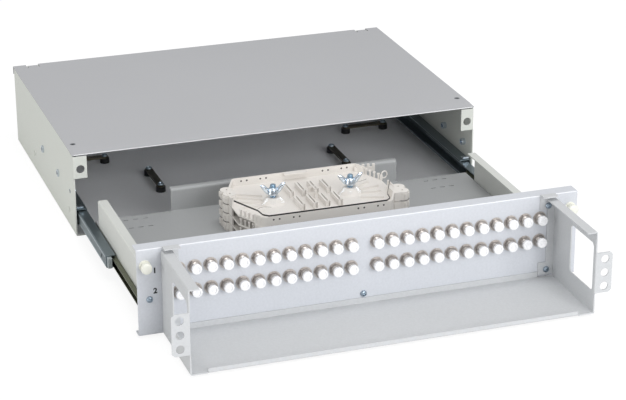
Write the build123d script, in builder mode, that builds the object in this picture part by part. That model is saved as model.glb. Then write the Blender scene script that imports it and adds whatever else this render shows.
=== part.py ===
from build123d import *
import os

os.makedirs("parts", exist_ok=True)

# Two-unit sliding fibre patch panel for a 19 inch rack, shown with its drawer pulled out.
# Sizes are in millimetres. X runs along the width, Y to the back and Z up.
# The origin lies on the base, in the middle of the housing's front edge.

# Folded steel sheet
sheet = 1.2
bend = 1.5
seam = 0.3
corner_relief = 3.0

# Housing
housing_width = 435.0
housing_height = 88.3
housing_depth = 298.0
top_lip = 15.0
rear_lip = 12.0
rear_wall_gap = 0.4
seat_play = 0.05
ear_width = 14.2
ear_height = 23.3
ear_top_gap = 1.6
latch_hole_r = 4.35
latch_inset = 7.5
latch_z = 72.0

# Cover
cover_overhang = 0.4
cover_setback = 1.2
cover_slope = 13.0
cover_drop = 0.6
cover_rear_flange = 9.0
cover_notch = 14.0
cover_notch_depth = 5.0
cover_notch_inset = 14.0
relief_slot = 1.6
relief_slot_length = 12.0
cover_screw_inset = 7.2
cover_screw_back = 30.0
cover_screw_r = 1.5
cover_screw_head_r = 2.9
cover_screw_length = 6.0

# Threaded inserts for the rack brackets
insert_z = 41.5
insert_flush_y = 21.0
insert_first = 75.0
insert_spacing = 75.0
insert_r = 2.8
insert_bore_r = 2.0
insert_collar_r = 4.0
insert_collar = 1.6
insert_body_r = 3.6
insert_body = 4.0

# Cable entries in the rear wall
entry_inset = 42.0
entry_spacing = 36.0
entry_z = 36.0
entry_r = 11.0
grommet_rim = 2.4
grommet_wall = 1.6
grommet_bore_r = 8.5

# Telescopic slides: a channel in a channel in a channel, with ball cages between
slide_z = 18.7
slide_start = 4.0
slide_length = 220.0
race_wall = 1.0
outer_half_height = 8.6
outer_lip = 1.5
race_gap = 1.3
cage_wall = 0.5
cage_end_gap = 5.125
web_gap = 1.2
slide_mouth = 1.4
inner_depth = 5.2
slide_corner = 1.3
cage_edge_gap = 0.8
member_hole_r = 2.0
member_hole_end = 18.0
stop_length = 8.0
stop_width = 7.0
stop_height = 2.6
stop_sheet = 0.8
bumper_length = 5.0
bumper_side_gap = 0.7
bumper_plug = 4.0
bumper_edge = 0.5
rivet_r = 1.9
rivet_head_r = 3.0
rivet_head = 0.9
drawer_rivet_head_r = 2.3
rivet_end_distance = 24.0
drawer_rivet_spacing = 152.0

# Drawer
drawer_travel = 239.5
panel_front = 254.0
panel_bottom = 2.4
panel_top = 87.8
panel_top_flange = 14.0
panel_bottom_flange = 11.0
slide_depth = 13.3
drawer_side_top = 52.8
drawer_side_bottom = 10.6
drawer_side_flange = 9.3
drawer_side_back = 41.8
side_tab = 9.5
side_tab_bottom = 28.0
side_tab_top = 48.0
tray_floor = 22.5
tray_side_flange = 11.5
tray_front_flange = 15.5
tray_back = 18.4
rear_wall_inset = 79.5
rear_wall_top = 46.3
rear_wall_flange = 5.5
slot_length = 5.6
slot_width = 1.8
slot_inset = 29.4
slot_pitch = 10.1
slot_back = 10.8
slot_row_spacing = 21.2
slot_count = 3

# Fibre adapters and dust caps
group_size = 12
adapter_end_gap = 16.2
group_half_gap = 12.6
upper_row_z = 64.9
row_spacing = 22.9
adapter_tail = 12.0
adapter_barrel_r = 5.0
adapter_front = 6.0
adapter_play = 0.15
cap_r = 5.0
cap_length = 3.4

# Patch cord trough
trough_inset = 22.6
trough_depth = 92.0
trough_bottom = 2.4
trough_top = 84.8
trough_top_flange = 10.3
shelf_lip_height = 4.6
shelf_lip_inset = 16.4
shelf_rear_flange = 6.6
rear_strip = 8.5
tab_width = 16.5
tab_height = 16.0
top_tab_top = 89.2
top_tab_flap = 9.6
window_front = 5.0
window_length = 48.6
window_bottom = 23.5
window_top = 71.5
window_corner = 4.5
trough_ear = 16.0
trough_ear_bottom = 22.8
trough_ear_top = 63.3
trough_ear_hole_r = 4.0
trough_ear_hole_x = 8.5
trough_ear_hole_pitch = 13.6
trough_ear_corner = 2.5

# Pan head screws
screw_r = 1.5
screw_head_r = 3.1
screw_head = 2.0
screw_length = 5.0
side_screw_out = 3.4
side_screw_z = 38.0
centre_screw_z = 12.9
tab_screw_in = 7.9
top_tab_screw_z = 77.1
bottom_tab_screw_z = 10.8

# Latches
latch_flange_r = 5.4
latch_flange = 1.5
latch_sleeve_r = 4.8
latch_sleeve = 12.0
latch_shaft_r = 3.6
latch_play = 0.05
latch_travel = 5.0
latch_knob_r = 5.2
latch_knob = 3.0
latch_tip = 14.0
latch_knob_chamfer = 0.6

# Splice trays, lid and wing nuts
stack_y = -102.0
stack_count = 4
splice_tray_height = 9.5
splice_half_length = 82.0
splice_half_width = 54.5
splice_end_half = 20.0
splice_front_half = 66.0
splice_corner = 5.0
splice_wall = 1.6
entry_tab_left = 19.5
entry_tab_right = 26.0
entry_tab_height = 8.9
entry_tab_inner = 13.0
entry_tab_lobe_r = 6.5
entry_tab_lobes = 2
entry_tab_step = 11.0
entry_tab_hole_r = 1.2
entry_gap_length = 21.0
entry_gap_start = 20.5
ledge_depth = 7.0
ledge_sheet = 1.4
ledge_half = 12.0
core_r = 12.0
core_top_r = 6.5
core_height = 6.5
comb_ribs = 4
comb_pitch = 13.0
comb_rib = 1.6
comb_length = 27.0
comb_offset = 4.0
comb_height = 5.4
lid_sheet = 1.5
lid_half_length = 81.6
lid_front = 53.2
lid_front_half = 65.5
lid_front_corner = 4.8
lid_shoulder_x = 67.0
lid_shoulder_y = 37.0
lid_end_half = 5.0
lid_back = 40.0
lid_back_half = 66.0
stud_x = 40.5
stud_y = -104.0
stud_r = 3.0
stud_height = 50.0
stud_play = 0.05
stud_hole_play = 0.35
stud_chamfer = 0.6
nut_base_r = 5.4
nut_top_r = 4.2
nut_height = 7.8
wing_half_width = 13.2
wing_height = 11.4
wing_sheet = 1.8
wing_root = 1.4
wing_elbow = 0.3

# Cable clamps on the housing floor
clamp_inset = 112.3
clamp_y = 113.0
clamp_pitch = 50.0
rear_clamp_inset = 53.3
rear_clamp_y = 192.0
rear_clamp_pitch = 45.4
post_r = 5.2
post_height = 5.6
post_foot_r = 2.5
post_bore = 3.4
clamp_bar_width = 7.6
clamp_bar_sheet = 2.0
clamp_head_r = 3.3
clamp_head = 2.0


def save(piece, name):
    """Label one piece and write it to its own file."""
    piece.part.label = name
    export_step(piece.part, f"parts/{name}.step")


def save_pair(right, name):
    """Write a right-hand piece and its mirror image."""
    with BuildPart() as left:
        mirror(right.part, about=Plane.YZ)
    save(left, f"{name}_left")
    save(right, f"{name}_right")


def open_channel(edge_x, web_x, half_height):
    """Outer line of a plain channel about the slide's centre height."""
    return [
        (edge_x, slide_z + half_height),
        (web_x, slide_z + half_height),
        (web_x, slide_z - half_height),
        (edge_x, slide_z - half_height),
    ]


def channel(line, wall, inward, front, length):
    """Rolled strip with the given outer line, running back from Y = front."""
    with BuildPart() as strip:
        with BuildSketch(Plane.XZ.offset(-front)):
            with BuildLine():
                FilletPolyline(*line, radius=slide_corner)
                offset(amount=wall, side=inward)
            make_face()
        extrude(amount=-length)
    return strip.part


def pan_screws(seat, places, head_r, head_height):
    """Loose screws of one kind with their heads on the seat plane."""
    with BuildPart() as screws:
        with BuildSketch(seat):
            with Locations(*places):
                Circle(head_r)
        extrude(amount=head_height)
        with BuildSketch(seat):
            with Locations(*places):
                Circle(screw_r)
        extrude(amount=-screw_length)
    return screws


# Places that follow from the sizes above
half_width = housing_width / 2
body_top = housing_height - sheet
side_inner = half_width - sheet
body_back = housing_depth - sheet - rear_wall_gap
ear_top = body_top - ear_top_gap
ear_bottom = ear_top - ear_height
panel_y = -panel_front
panel_back = panel_y + sheet
drawer_side_x = side_inner - slide_depth
trough_half = half_width - trough_inset
shelf_lip_half = trough_half - shelf_lip_inset
adapter_pitch = (trough_half - adapter_end_gap - group_half_gap) / (group_size - 1)
side_screw_x = drawer_side_x + side_screw_out
clamp_x = half_width - clamp_inset
rear_clamp_x = half_width - rear_clamp_inset
tray_half = drawer_side_x - sheet
lower_row_z = upper_row_z - row_spacing
columns = [side * (group_half_gap + adapter_pitch * i) for side in (-1, 1) for i in range(group_size)]
outer_web = side_inner
mid_web = outer_web - race_wall - web_gap
slide_open = drawer_side_x + slide_mouth
mid_half_height = outer_half_height - race_wall - race_gap
inner_half_height = mid_half_height - race_wall - race_gap
inner_edge = drawer_side_x + inner_depth
member_half_travel = drawer_travel / 2
trough_front = panel_y - trough_depth
latch_x = half_width - latch_inset
notch_x = half_width - cover_notch_inset - cover_notch / 2
entry_places = [(side * (half_width - entry_inset - entry_spacing * i), entry_z) for side in (-1, 1) for i in (0, 1)]
collared_places = [(insert_first + insert_spacing * i, insert_z) for i in (0, 1)]
insert_places = collared_places + [(insert_flush_y, insert_z)]
rear_wall_half = tray_half - rear_wall_inset
cover_screw_places = [(side * (half_width - cover_screw_inset), cover_screw_back) for side in (-1, 1)]
mid_front = slide_start - member_half_travel
cage_length = slide_length - member_half_travel - 2 * cage_end_gap
rivet_spacing = slide_length - 2 * rivet_end_distance
inner_front = slide_start - drawer_travel
outer_cage_front = slide_start + slide_length / 2 - drawer_travel / 4 - cage_length / 2
inner_cage_front = slide_start + slide_length / 2 - 3 * drawer_travel / 4 - cage_length / 2
rivet_places = [(slide_start + rivet_end_distance + rivet_spacing * i, slide_z) for i in (0, 1)]
drawer_rivet_places = [(inner_front + rivet_end_distance + drawer_rivet_spacing * i, slide_z) for i in (0, 1)]
slide_top = slide_z + outer_half_height
slide_bottom = slide_z - outer_half_height
outer_line = [
    (slide_open, slide_top - outer_lip),
    (slide_open, slide_top),
    (outer_web, slide_top),
    (outer_web, slide_bottom),
    (slide_open, slide_bottom),
    (slide_open, slide_bottom + outer_lip),
]
mid_line = open_channel(slide_open, mid_web, mid_half_height)
cage_gap = (race_gap - cage_wall) / 2
outer_cage_web = outer_web - race_wall - (web_gap - cage_wall) / 2
cage_edge = slide_open + race_wall + cage_edge_gap
outer_cage_line = open_channel(cage_edge, outer_cage_web, mid_half_height + cage_gap + cage_wall)
inner_cage_web = mid_web - race_wall - (web_gap - cage_wall) / 2
inner_cage_line = open_channel(cage_edge - race_wall, inner_cage_web, inner_half_height + cage_gap + cage_wall)
inner_line = open_channel(inner_edge, drawer_side_x, inner_half_height)
slot_places = [
    (side * (tray_half - slot_inset - slot_pitch * i), -tray_back - slot_back - slot_row_spacing * row)
    for side in (-1, 1)
    for i in range(slot_count)
    for row in (0, 1)
]
top_tab_screws = [(side * (trough_half - tab_screw_in), top_tab_screw_z) for side in (-1, 1)]
bottom_tab_screws = [(side * (trough_half - tab_screw_in), bottom_tab_screw_z) for side in (-1, 1)]
panel_screw_places = [(-side_screw_x, side_screw_z), (side_screw_x, side_screw_z), (0, centre_screw_z)]
tab_bottom_z = top_tab_top - tab_height
trough_ear_height = trough_ear_top - trough_ear_bottom
trough_ear_centre = (trough_ear_top + trough_ear_bottom) / 2
trough_ear_holes = [
    (side * (trough_half + trough_ear_hole_x), trough_ear_centre + trough_ear_hole_pitch * i)
    for side in (-1, 1)
    for i in (-1, 0, 1)
]
knob_base = latch_flange + seam + latch_travel
lid_z = tray_floor + stack_count * splice_tray_height
stud_local_y = stud_y - stack_y
tray_outline = [
    (-splice_front_half, -splice_half_width),
    (splice_front_half, -splice_half_width),
    (splice_half_length, -splice_end_half),
    (splice_half_length, splice_end_half),
    (splice_front_half, splice_half_width),
    (-splice_front_half, splice_half_width),
    (-splice_half_length, splice_end_half),
    (-splice_half_length, -splice_end_half),
]
lid_right = [
    (lid_front_half - lid_front_corner, -lid_front),
    (lid_front_half, lid_front_corner - lid_front),
    (lid_shoulder_x, -lid_shoulder_y),
    (lid_half_length, -lid_end_half),
    (lid_half_length, lid_end_half),
    (lid_back_half, lid_back),
]
lid_outline = lid_right + [(-x, y) for x, y in reversed(lid_right)]
entry_tab_width = entry_tab_lobes * entry_tab_step
entry_tab_start = splice_half_length - splice_corner - splice_wall
entry_tabs = [(-1, splice_front_half + entry_tab_left), (1, splice_front_half + entry_tab_right)]
entry_lobes = [
    (end * (reach - entry_tab_lobe_r), -end * (entry_tab_inner + entry_tab_step * (i + 0.5)))
    for end, reach in entry_tabs
    for i in range(entry_tab_lobes)
]
wing_outline = [
    (stud_r + wing_root, wing_root),
    (wing_half_width - wing_root, wing_height * wing_elbow),
    (wing_half_width, wing_height - wing_root),
    (wing_half_width - wing_root, wing_height),
    (wing_half_width - 2 * wing_root, wing_height),
    (stud_r + wing_root, nut_height - wing_root),
]
clamp_bar_z = sheet + post_height
front_posts = [(clamp_x, clamp_y + side * clamp_pitch / 2) for side in (-1, 1)]
rear_posts = [(rear_clamp_x + side * rear_clamp_pitch / 2, rear_clamp_y) for side in (-1, 1)]
right_posts = front_posts + rear_posts
post_places = right_posts + [(-x, y) for x, y in right_posts]


# Housing body: floor and sides with top lips, rear wall and front ears, folded from one sheet
with BuildPart() as housing_body:
    with BuildSketch(Plane.XZ):
        with BuildLine():
            FilletPolyline(
                (top_lip - half_width, body_top),
                (-half_width, body_top),
                (-half_width, 0),
                (half_width, 0),
                (half_width, body_top),
                (half_width - top_lip, body_top),
                radius=bend,
            )
            offset(amount=sheet, side=Side.LEFT)
        make_face()
    extrude(amount=-(body_back - bend))
    with BuildSketch(Plane.YZ):
        with BuildLine():
            FilletPolyline(
                (body_back / 2, 0),
                (body_back, 0),
                (body_back, body_top),
                (body_back - rear_lip, body_top),
                radius=bend,
            )
            offset(amount=sheet, side=Side.LEFT)
        make_face()
    extrude(amount=side_inner - top_lip + sheet - seam, both=True)
    with BuildSketch(Plane.YZ):
        with BuildLine():
            FilletPolyline(
                (body_back / 2, 0),
                (body_back, 0),
                (body_back, body_top - sheet - seam),
                radius=bend,
            )
            offset(amount=sheet, side=Side.LEFT)
        make_face()
    extrude(amount=side_inner - seam, both=True)
    with Locations((-half_width, 0, body_top), (half_width, 0, body_top)):
        Box(2 * (top_lip + bend), 2 * (cover_setback + cover_slope), 2 * (sheet + seam), mode=Mode.SUBTRACT)
    with Locations((-half_width, 0, ear_bottom - seam), (half_width, 0, ear_bottom - seam)):
        Box(
            2 * (sheet + bend),
            2 * bend,
            housing_height,
            align=(Align.CENTER, Align.CENTER, Align.MIN),
            mode=Mode.SUBTRACT,
        )
    with BuildSketch(Plane.XY.offset(ear_bottom)):
        with BuildLine():
            FilletPolyline(
                (half_width, 4 * bend),
                (half_width, 0),
                (half_width - ear_width, 0),
                radius=bend,
            )
            offset(amount=sheet, side=Side.RIGHT)
        make_face()
        mirror(about=Plane.YZ)
    extrude(amount=ear_height)
    with BuildSketch(Plane.XZ):
        with Locations((-latch_x, latch_z), (latch_x, latch_z)):
            Circle(latch_hole_r)
    extrude(amount=-2 * sheet, mode=Mode.SUBTRACT)
    with BuildSketch(Plane.XZ.offset(-body_back)):
        with Locations(*entry_places):
            Circle(entry_r)
    extrude(amount=2 * sheet, mode=Mode.SUBTRACT)
    with BuildSketch(Plane.YZ.offset(-half_width)):
        with Locations(*insert_places):
            Circle(insert_r + seat_play)
        with Locations(*rivet_places):
            Circle(rivet_r + seat_play)
    extrude(amount=housing_width, mode=Mode.SUBTRACT)
    with BuildSketch():
        with Locations(*post_places):
            Circle(post_foot_r + seat_play)
    extrude(amount=sheet, mode=Mode.SUBTRACT)
    with BuildSketch(Plane.XY.offset(body_top)):
        with Locations(*cover_screw_places):
            Circle(cover_screw_r + seat_play)
    extrude(amount=-sheet, mode=Mode.SUBTRACT)
save(housing_body, "housing_body")

# Cover with a sloped front band, notched rear edge and rear flange
with BuildPart() as top_cover:
    with BuildSketch(Plane.YZ):
        with BuildLine():
            FilletPolyline(
                (cover_setback, housing_height - cover_drop),
                (cover_setback + cover_slope, housing_height),
                (housing_depth, housing_height),
                (housing_depth, housing_height - cover_rear_flange),
                radius=bend,
            )
            offset(amount=sheet, side=Side.RIGHT)
        make_face()
    extrude(amount=half_width + cover_overhang, both=True)
    for side in (-1, 1):
        with Locations((side * notch_x, housing_depth, housing_height)):
            Box(cover_notch, 2 * cover_notch_depth, 3 * cover_rear_flange, mode=Mode.SUBTRACT)
            with Locations(((relief_slot - cover_notch) / 2, 0, 0), ((cover_notch - relief_slot) / 2, 0, 0)):
                Box(relief_slot, 2 * relief_slot_length, 3 * sheet, mode=Mode.SUBTRACT)
    with Locations(*[(x, y, housing_height) for x, y in cover_screw_places]):
        Cone(
            cover_screw_r + seat_play,
            cover_screw_head_r + seat_play,
            sheet,
            align=(Align.CENTER, Align.CENTER, Align.MAX),
            mode=Mode.SUBTRACT,
        )
save(top_cover, "top_cover")

with BuildPart() as cover_screws:
    with Locations(*[(x, y, housing_height) for x, y in cover_screw_places]):
        Cone(
            cover_screw_r,
            cover_screw_head_r,
            sheet,
            align=(Align.CENTER, Align.CENTER, Align.MAX),
        )
        Cylinder(cover_screw_r, cover_screw_length, align=(Align.CENTER, Align.CENTER, Align.MAX))
save(cover_screws, "cover_screws")

# Press-in inserts: one flush with the wall and two with a collar outside
with BuildPart() as side_inserts:
    with BuildSketch(Plane.YZ.offset(side_inner - insert_body)):
        with Locations(*insert_places):
            Circle(insert_body_r)
    extrude(amount=insert_body)
    with BuildSketch(Plane.YZ.offset(side_inner)):
        with Locations(*insert_places):
            Circle(insert_r)
    extrude(amount=sheet)
    with BuildSketch(Plane.YZ.offset(half_width)):
        with Locations(*collared_places):
            Circle(insert_collar_r)
    extrude(amount=insert_collar)
    with BuildSketch(Plane.YZ.offset(half_width + insert_collar)):
        with Locations(*insert_places):
            Circle(insert_bore_r)
    extrude(amount=-(insert_collar + sheet + insert_body), mode=Mode.SUBTRACT)
    mirror(about=Plane.YZ)
save(side_inserts, "side_inserts")

# Rubber grommets, each a sleeve with a rim on either side of the rear wall
with BuildPart() as cable_grommets:
    with BuildSketch(Plane.XZ.offset(-(body_back + grommet_wall))):
        with Locations(*entry_places):
            Circle(entry_r + grommet_rim)
    extrude(amount=sheet + 2 * grommet_wall)
    with BuildSketch(Plane.XZ.offset(-body_back)):
        with Locations(*entry_places):
            Circle(entry_r + 2 * grommet_rim)
            Circle(entry_r - seat_play, mode=Mode.SUBTRACT)
    extrude(amount=sheet, mode=Mode.SUBTRACT)
    with BuildSketch(Plane.XZ.offset(-(body_back + grommet_wall))):
        with Locations(*entry_places):
            Circle(grommet_bore_r)
    extrude(amount=sheet + 2 * grommet_wall, mode=Mode.SUBTRACT)
save(cable_grommets, "cable_grommets")

# Slide members, right-hand side
with BuildPart() as slide_outer:
    add(channel(outer_line, race_wall, Side.RIGHT, slide_start, slide_length))
    with BuildSketch(Plane.YZ.offset(outer_web)):
        with Locations(*rivet_places):
            Circle(rivet_r + seat_play)
    extrude(amount=-race_wall, mode=Mode.SUBTRACT)
save_pair(slide_outer, "slide_outer")

with BuildPart() as slide_rivets:
    with BuildSketch(Plane.YZ.offset(outer_web - race_wall)):
        with Locations(*rivet_places):
            Circle(rivet_r)
    extrude(amount=race_wall + sheet)
    with BuildSketch(Plane.YZ.offset(half_width)):
        with Locations(*rivet_places):
            Circle(rivet_head_r)
    extrude(amount=rivet_head, taper=12)
    mirror(about=Plane.YZ)
save(slide_rivets, "slide_rivets")

with BuildPart() as slide_stop:
    with BuildSketch(Plane.YZ.offset(outer_web - slide_corner)):
        with BuildLine():
            FilletPolyline(
                (slide_start + stop_length, slide_z + outer_half_height),
                (slide_start, slide_z + outer_half_height),
                (slide_start, slide_z + outer_half_height + stop_height),
                radius=slide_corner,
            )
            offset(amount=stop_sheet, side=Side.RIGHT)
        make_face()
    extrude(amount=-stop_width)
save_pair(slide_stop, "slide_stop")

with BuildPart() as slide_middle:
    add(channel(mid_line, race_wall, Side.RIGHT, mid_front, slide_length))
    with BuildSketch(Plane.YZ.offset(mid_web)):
        with Locations((mid_front + member_hole_end, slide_z), (mid_front + slide_length - member_hole_end, slide_z)):
            Circle(member_hole_r)
    extrude(amount=-race_wall, mode=Mode.SUBTRACT)
save_pair(slide_middle, "slide_middle")

with BuildPart() as middle_bumper:
    with BuildSketch(Plane.XZ.offset(bumper_length - mid_front)):
        with Locations(((inner_edge + bumper_side_gap + mid_web - race_wall) / 2, slide_z)):
            Rectangle(mid_web - race_wall - inner_edge - bumper_side_gap, 2 * (mid_half_height - race_wall))
    extrude(amount=-(bumper_length + bumper_plug))
    fillet(middle_bumper.edges().filter_by(Axis.Y), bumper_edge)
    fillet(middle_bumper.faces().sort_by(Axis.Y)[0].edges(), bumper_edge)
save_pair(middle_bumper, "middle_bumper")

with BuildPart() as outer_cage:
    add(channel(outer_cage_line, cage_wall, Side.RIGHT, outer_cage_front, cage_length))
save_pair(outer_cage, "outer_cage")

with BuildPart() as inner_cage:
    add(channel(inner_cage_line, cage_wall, Side.RIGHT, inner_cage_front, cage_length))
save_pair(inner_cage, "inner_cage")

with BuildPart() as slide_inner:
    add(channel(inner_line, race_wall, Side.LEFT, inner_front, slide_length))
    with BuildSketch(Plane.YZ.offset(drawer_side_x)):
        with Locations(*drawer_rivet_places):
            Circle(rivet_r + seat_play)
    extrude(amount=race_wall, mode=Mode.SUBTRACT)
save_pair(slide_inner, "slide_inner")

with BuildPart() as drawer_rivets:
    with BuildSketch(Plane.YZ.offset(tray_half - sheet)):
        with Locations(*drawer_rivet_places):
            Circle(rivet_r)
    extrude(amount=2 * sheet + race_wall)
    with BuildSketch(Plane.YZ.offset(tray_half - sheet)):
        with Locations(*drawer_rivet_places):
            Circle(drawer_rivet_head_r)
    extrude(amount=-rivet_head, taper=12)
    mirror(about=Plane.YZ)
save(drawer_rivets, "drawer_rivets")

# Drawer tray: floor with side and front flanges folded down and a low rear wall folded up
with BuildPart() as drawer_tray:
    with BuildSketch(Plane.XZ.offset(-(panel_back + bend))):
        with BuildLine():
            FilletPolyline(
                (-tray_half, tray_floor - tray_side_flange),
                (-tray_half, tray_floor),
                (tray_half, tray_floor),
                (tray_half, tray_floor - tray_side_flange),
                radius=bend,
            )
            offset(amount=sheet, side=Side.RIGHT)
        make_face()
    extrude(amount=-(panel_front - sheet - bend - tray_back - bend))
    with BuildSketch(Plane.YZ):
        with BuildLine():
            FilletPolyline(
                (panel_back, tray_floor - tray_front_flange),
                (panel_back, tray_floor),
                (panel_back / 2, tray_floor),
                radius=bend,
            )
            offset(amount=sheet, side=Side.RIGHT)
        make_face()
    extrude(amount=tray_half - sheet - seam, both=True)
    with BuildSketch(Plane.YZ):
        with BuildLine():
            FilletPolyline(
                (panel_back / 2, tray_floor - sheet),
                (-tray_back, tray_floor - sheet),
                (-tray_back, rear_wall_top - sheet),
                (rear_wall_flange - tray_back, rear_wall_top - sheet),
                radius=bend,
            )
            offset(amount=sheet, side=Side.LEFT)
        make_face()
    extrude(amount=rear_wall_half, both=True)
    with BuildSketch(Plane.XY.offset(tray_floor)):
        with Locations(*slot_places):
            SlotOverall(slot_length, slot_width)
        with Locations((-stud_x, stud_y), (stud_x, stud_y)):
            Circle(stud_r + seat_play)
    extrude(amount=-sheet, mode=Mode.SUBTRACT)
    with BuildSketch(Plane.YZ.offset(-tray_half)):
        with Locations(*drawer_rivet_places):
            Circle(rivet_r + seat_play)
    extrude(amount=2 * tray_half, mode=Mode.SUBTRACT)
    with BuildSketch(Plane.XZ.offset(-panel_back)):
        with Locations((0, centre_screw_z), *bottom_tab_screws):
            Circle(screw_r + seat_play)
    extrude(amount=-sheet, mode=Mode.SUBTRACT)
save(drawer_tray, "drawer_tray")

with BuildPart() as drawer_side:
    with BuildSketch(Plane.XZ.offset(-(panel_back + bend))):
        with BuildLine():
            FilletPolyline(
                (drawer_side_x, drawer_side_bottom),
                (drawer_side_x, drawer_side_top),
                (drawer_side_x - drawer_side_flange, drawer_side_top),
                radius=bend,
            )
            offset(amount=sheet, side=Side.LEFT)
        make_face()
    extrude(amount=-(panel_front - sheet - bend - drawer_side_back))
    with BuildSketch(Plane.XY.offset(side_tab_bottom)):
        with BuildLine():
            FilletPolyline(
                (tray_half, panel_back + 4 * bend),
                (tray_half, panel_back),
                (drawer_side_x + side_tab, panel_back),
                radius=bend,
            )
            offset(amount=sheet, side=Side.LEFT)
        make_face()
    extrude(amount=side_tab_top - side_tab_bottom)
    with BuildSketch(Plane.YZ.offset(tray_half)):
        with Locations(*drawer_rivet_places):
            Circle(rivet_r + seat_play)
    extrude(amount=sheet, mode=Mode.SUBTRACT)
    with BuildSketch(Plane.XZ.offset(-panel_back)):
        with Locations((side_screw_x, side_screw_z)):
            Circle(screw_r + seat_play)
    extrude(amount=-sheet, mode=Mode.SUBTRACT)
save_pair(drawer_side, "drawer_side")

# Front panel with top and bottom flanges and a hole for each adapter
with BuildPart() as front_panel:
    with BuildSketch(Plane.YZ):
        with BuildLine():
            FilletPolyline(
                (panel_y + panel_top_flange, panel_top),
                (panel_y, panel_top),
                (panel_y, panel_bottom),
                (panel_y + panel_bottom_flange, panel_bottom),
                radius=bend,
            )
            offset(amount=sheet, side=Side.LEFT)
        make_face()
    extrude(amount=half_width, both=True)
    with BuildSketch(Plane.XZ.offset(panel_front)):
        for row_z in (upper_row_z, lower_row_z):
            with Locations(*[(x, row_z) for x in columns]):
                Circle(adapter_barrel_r + adapter_play)
        with Locations((-latch_x, latch_z), (latch_x, latch_z)):
            Circle(latch_sleeve_r + seat_play)
        with Locations(*panel_screw_places, *top_tab_screws, *bottom_tab_screws):
            Circle(screw_r + seat_play)
    extrude(amount=-sheet, mode=Mode.SUBTRACT)
save(front_panel, "front_panel")

panel_screws = pan_screws(Plane.XZ.offset(panel_front), panel_screw_places, screw_head_r, screw_head)
save(panel_screws, "panel_screws")

# Adapters and their dust caps, one group of loose pieces for each row
for row_name, row_z in (("upper", upper_row_z), ("lower", lower_row_z)):
    row_places = [(x, row_z) for x in columns]
    with BuildPart() as adapters:
        with BuildSketch(Plane.XZ.offset(panel_front + adapter_front)):
            with Locations(*row_places):
                Circle(adapter_barrel_r)
        extrude(amount=-(adapter_front + adapter_tail))
    save(adapters, f"adapters_{row_name}_row")
    with BuildPart() as caps:
        with BuildSketch(Plane.XZ.offset(panel_front + adapter_front)):
            with Locations(*row_places):
                Circle(cap_r)
        extrude(amount=cap_length)
    save(caps, f"dust_caps_{row_name}_row")

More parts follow.
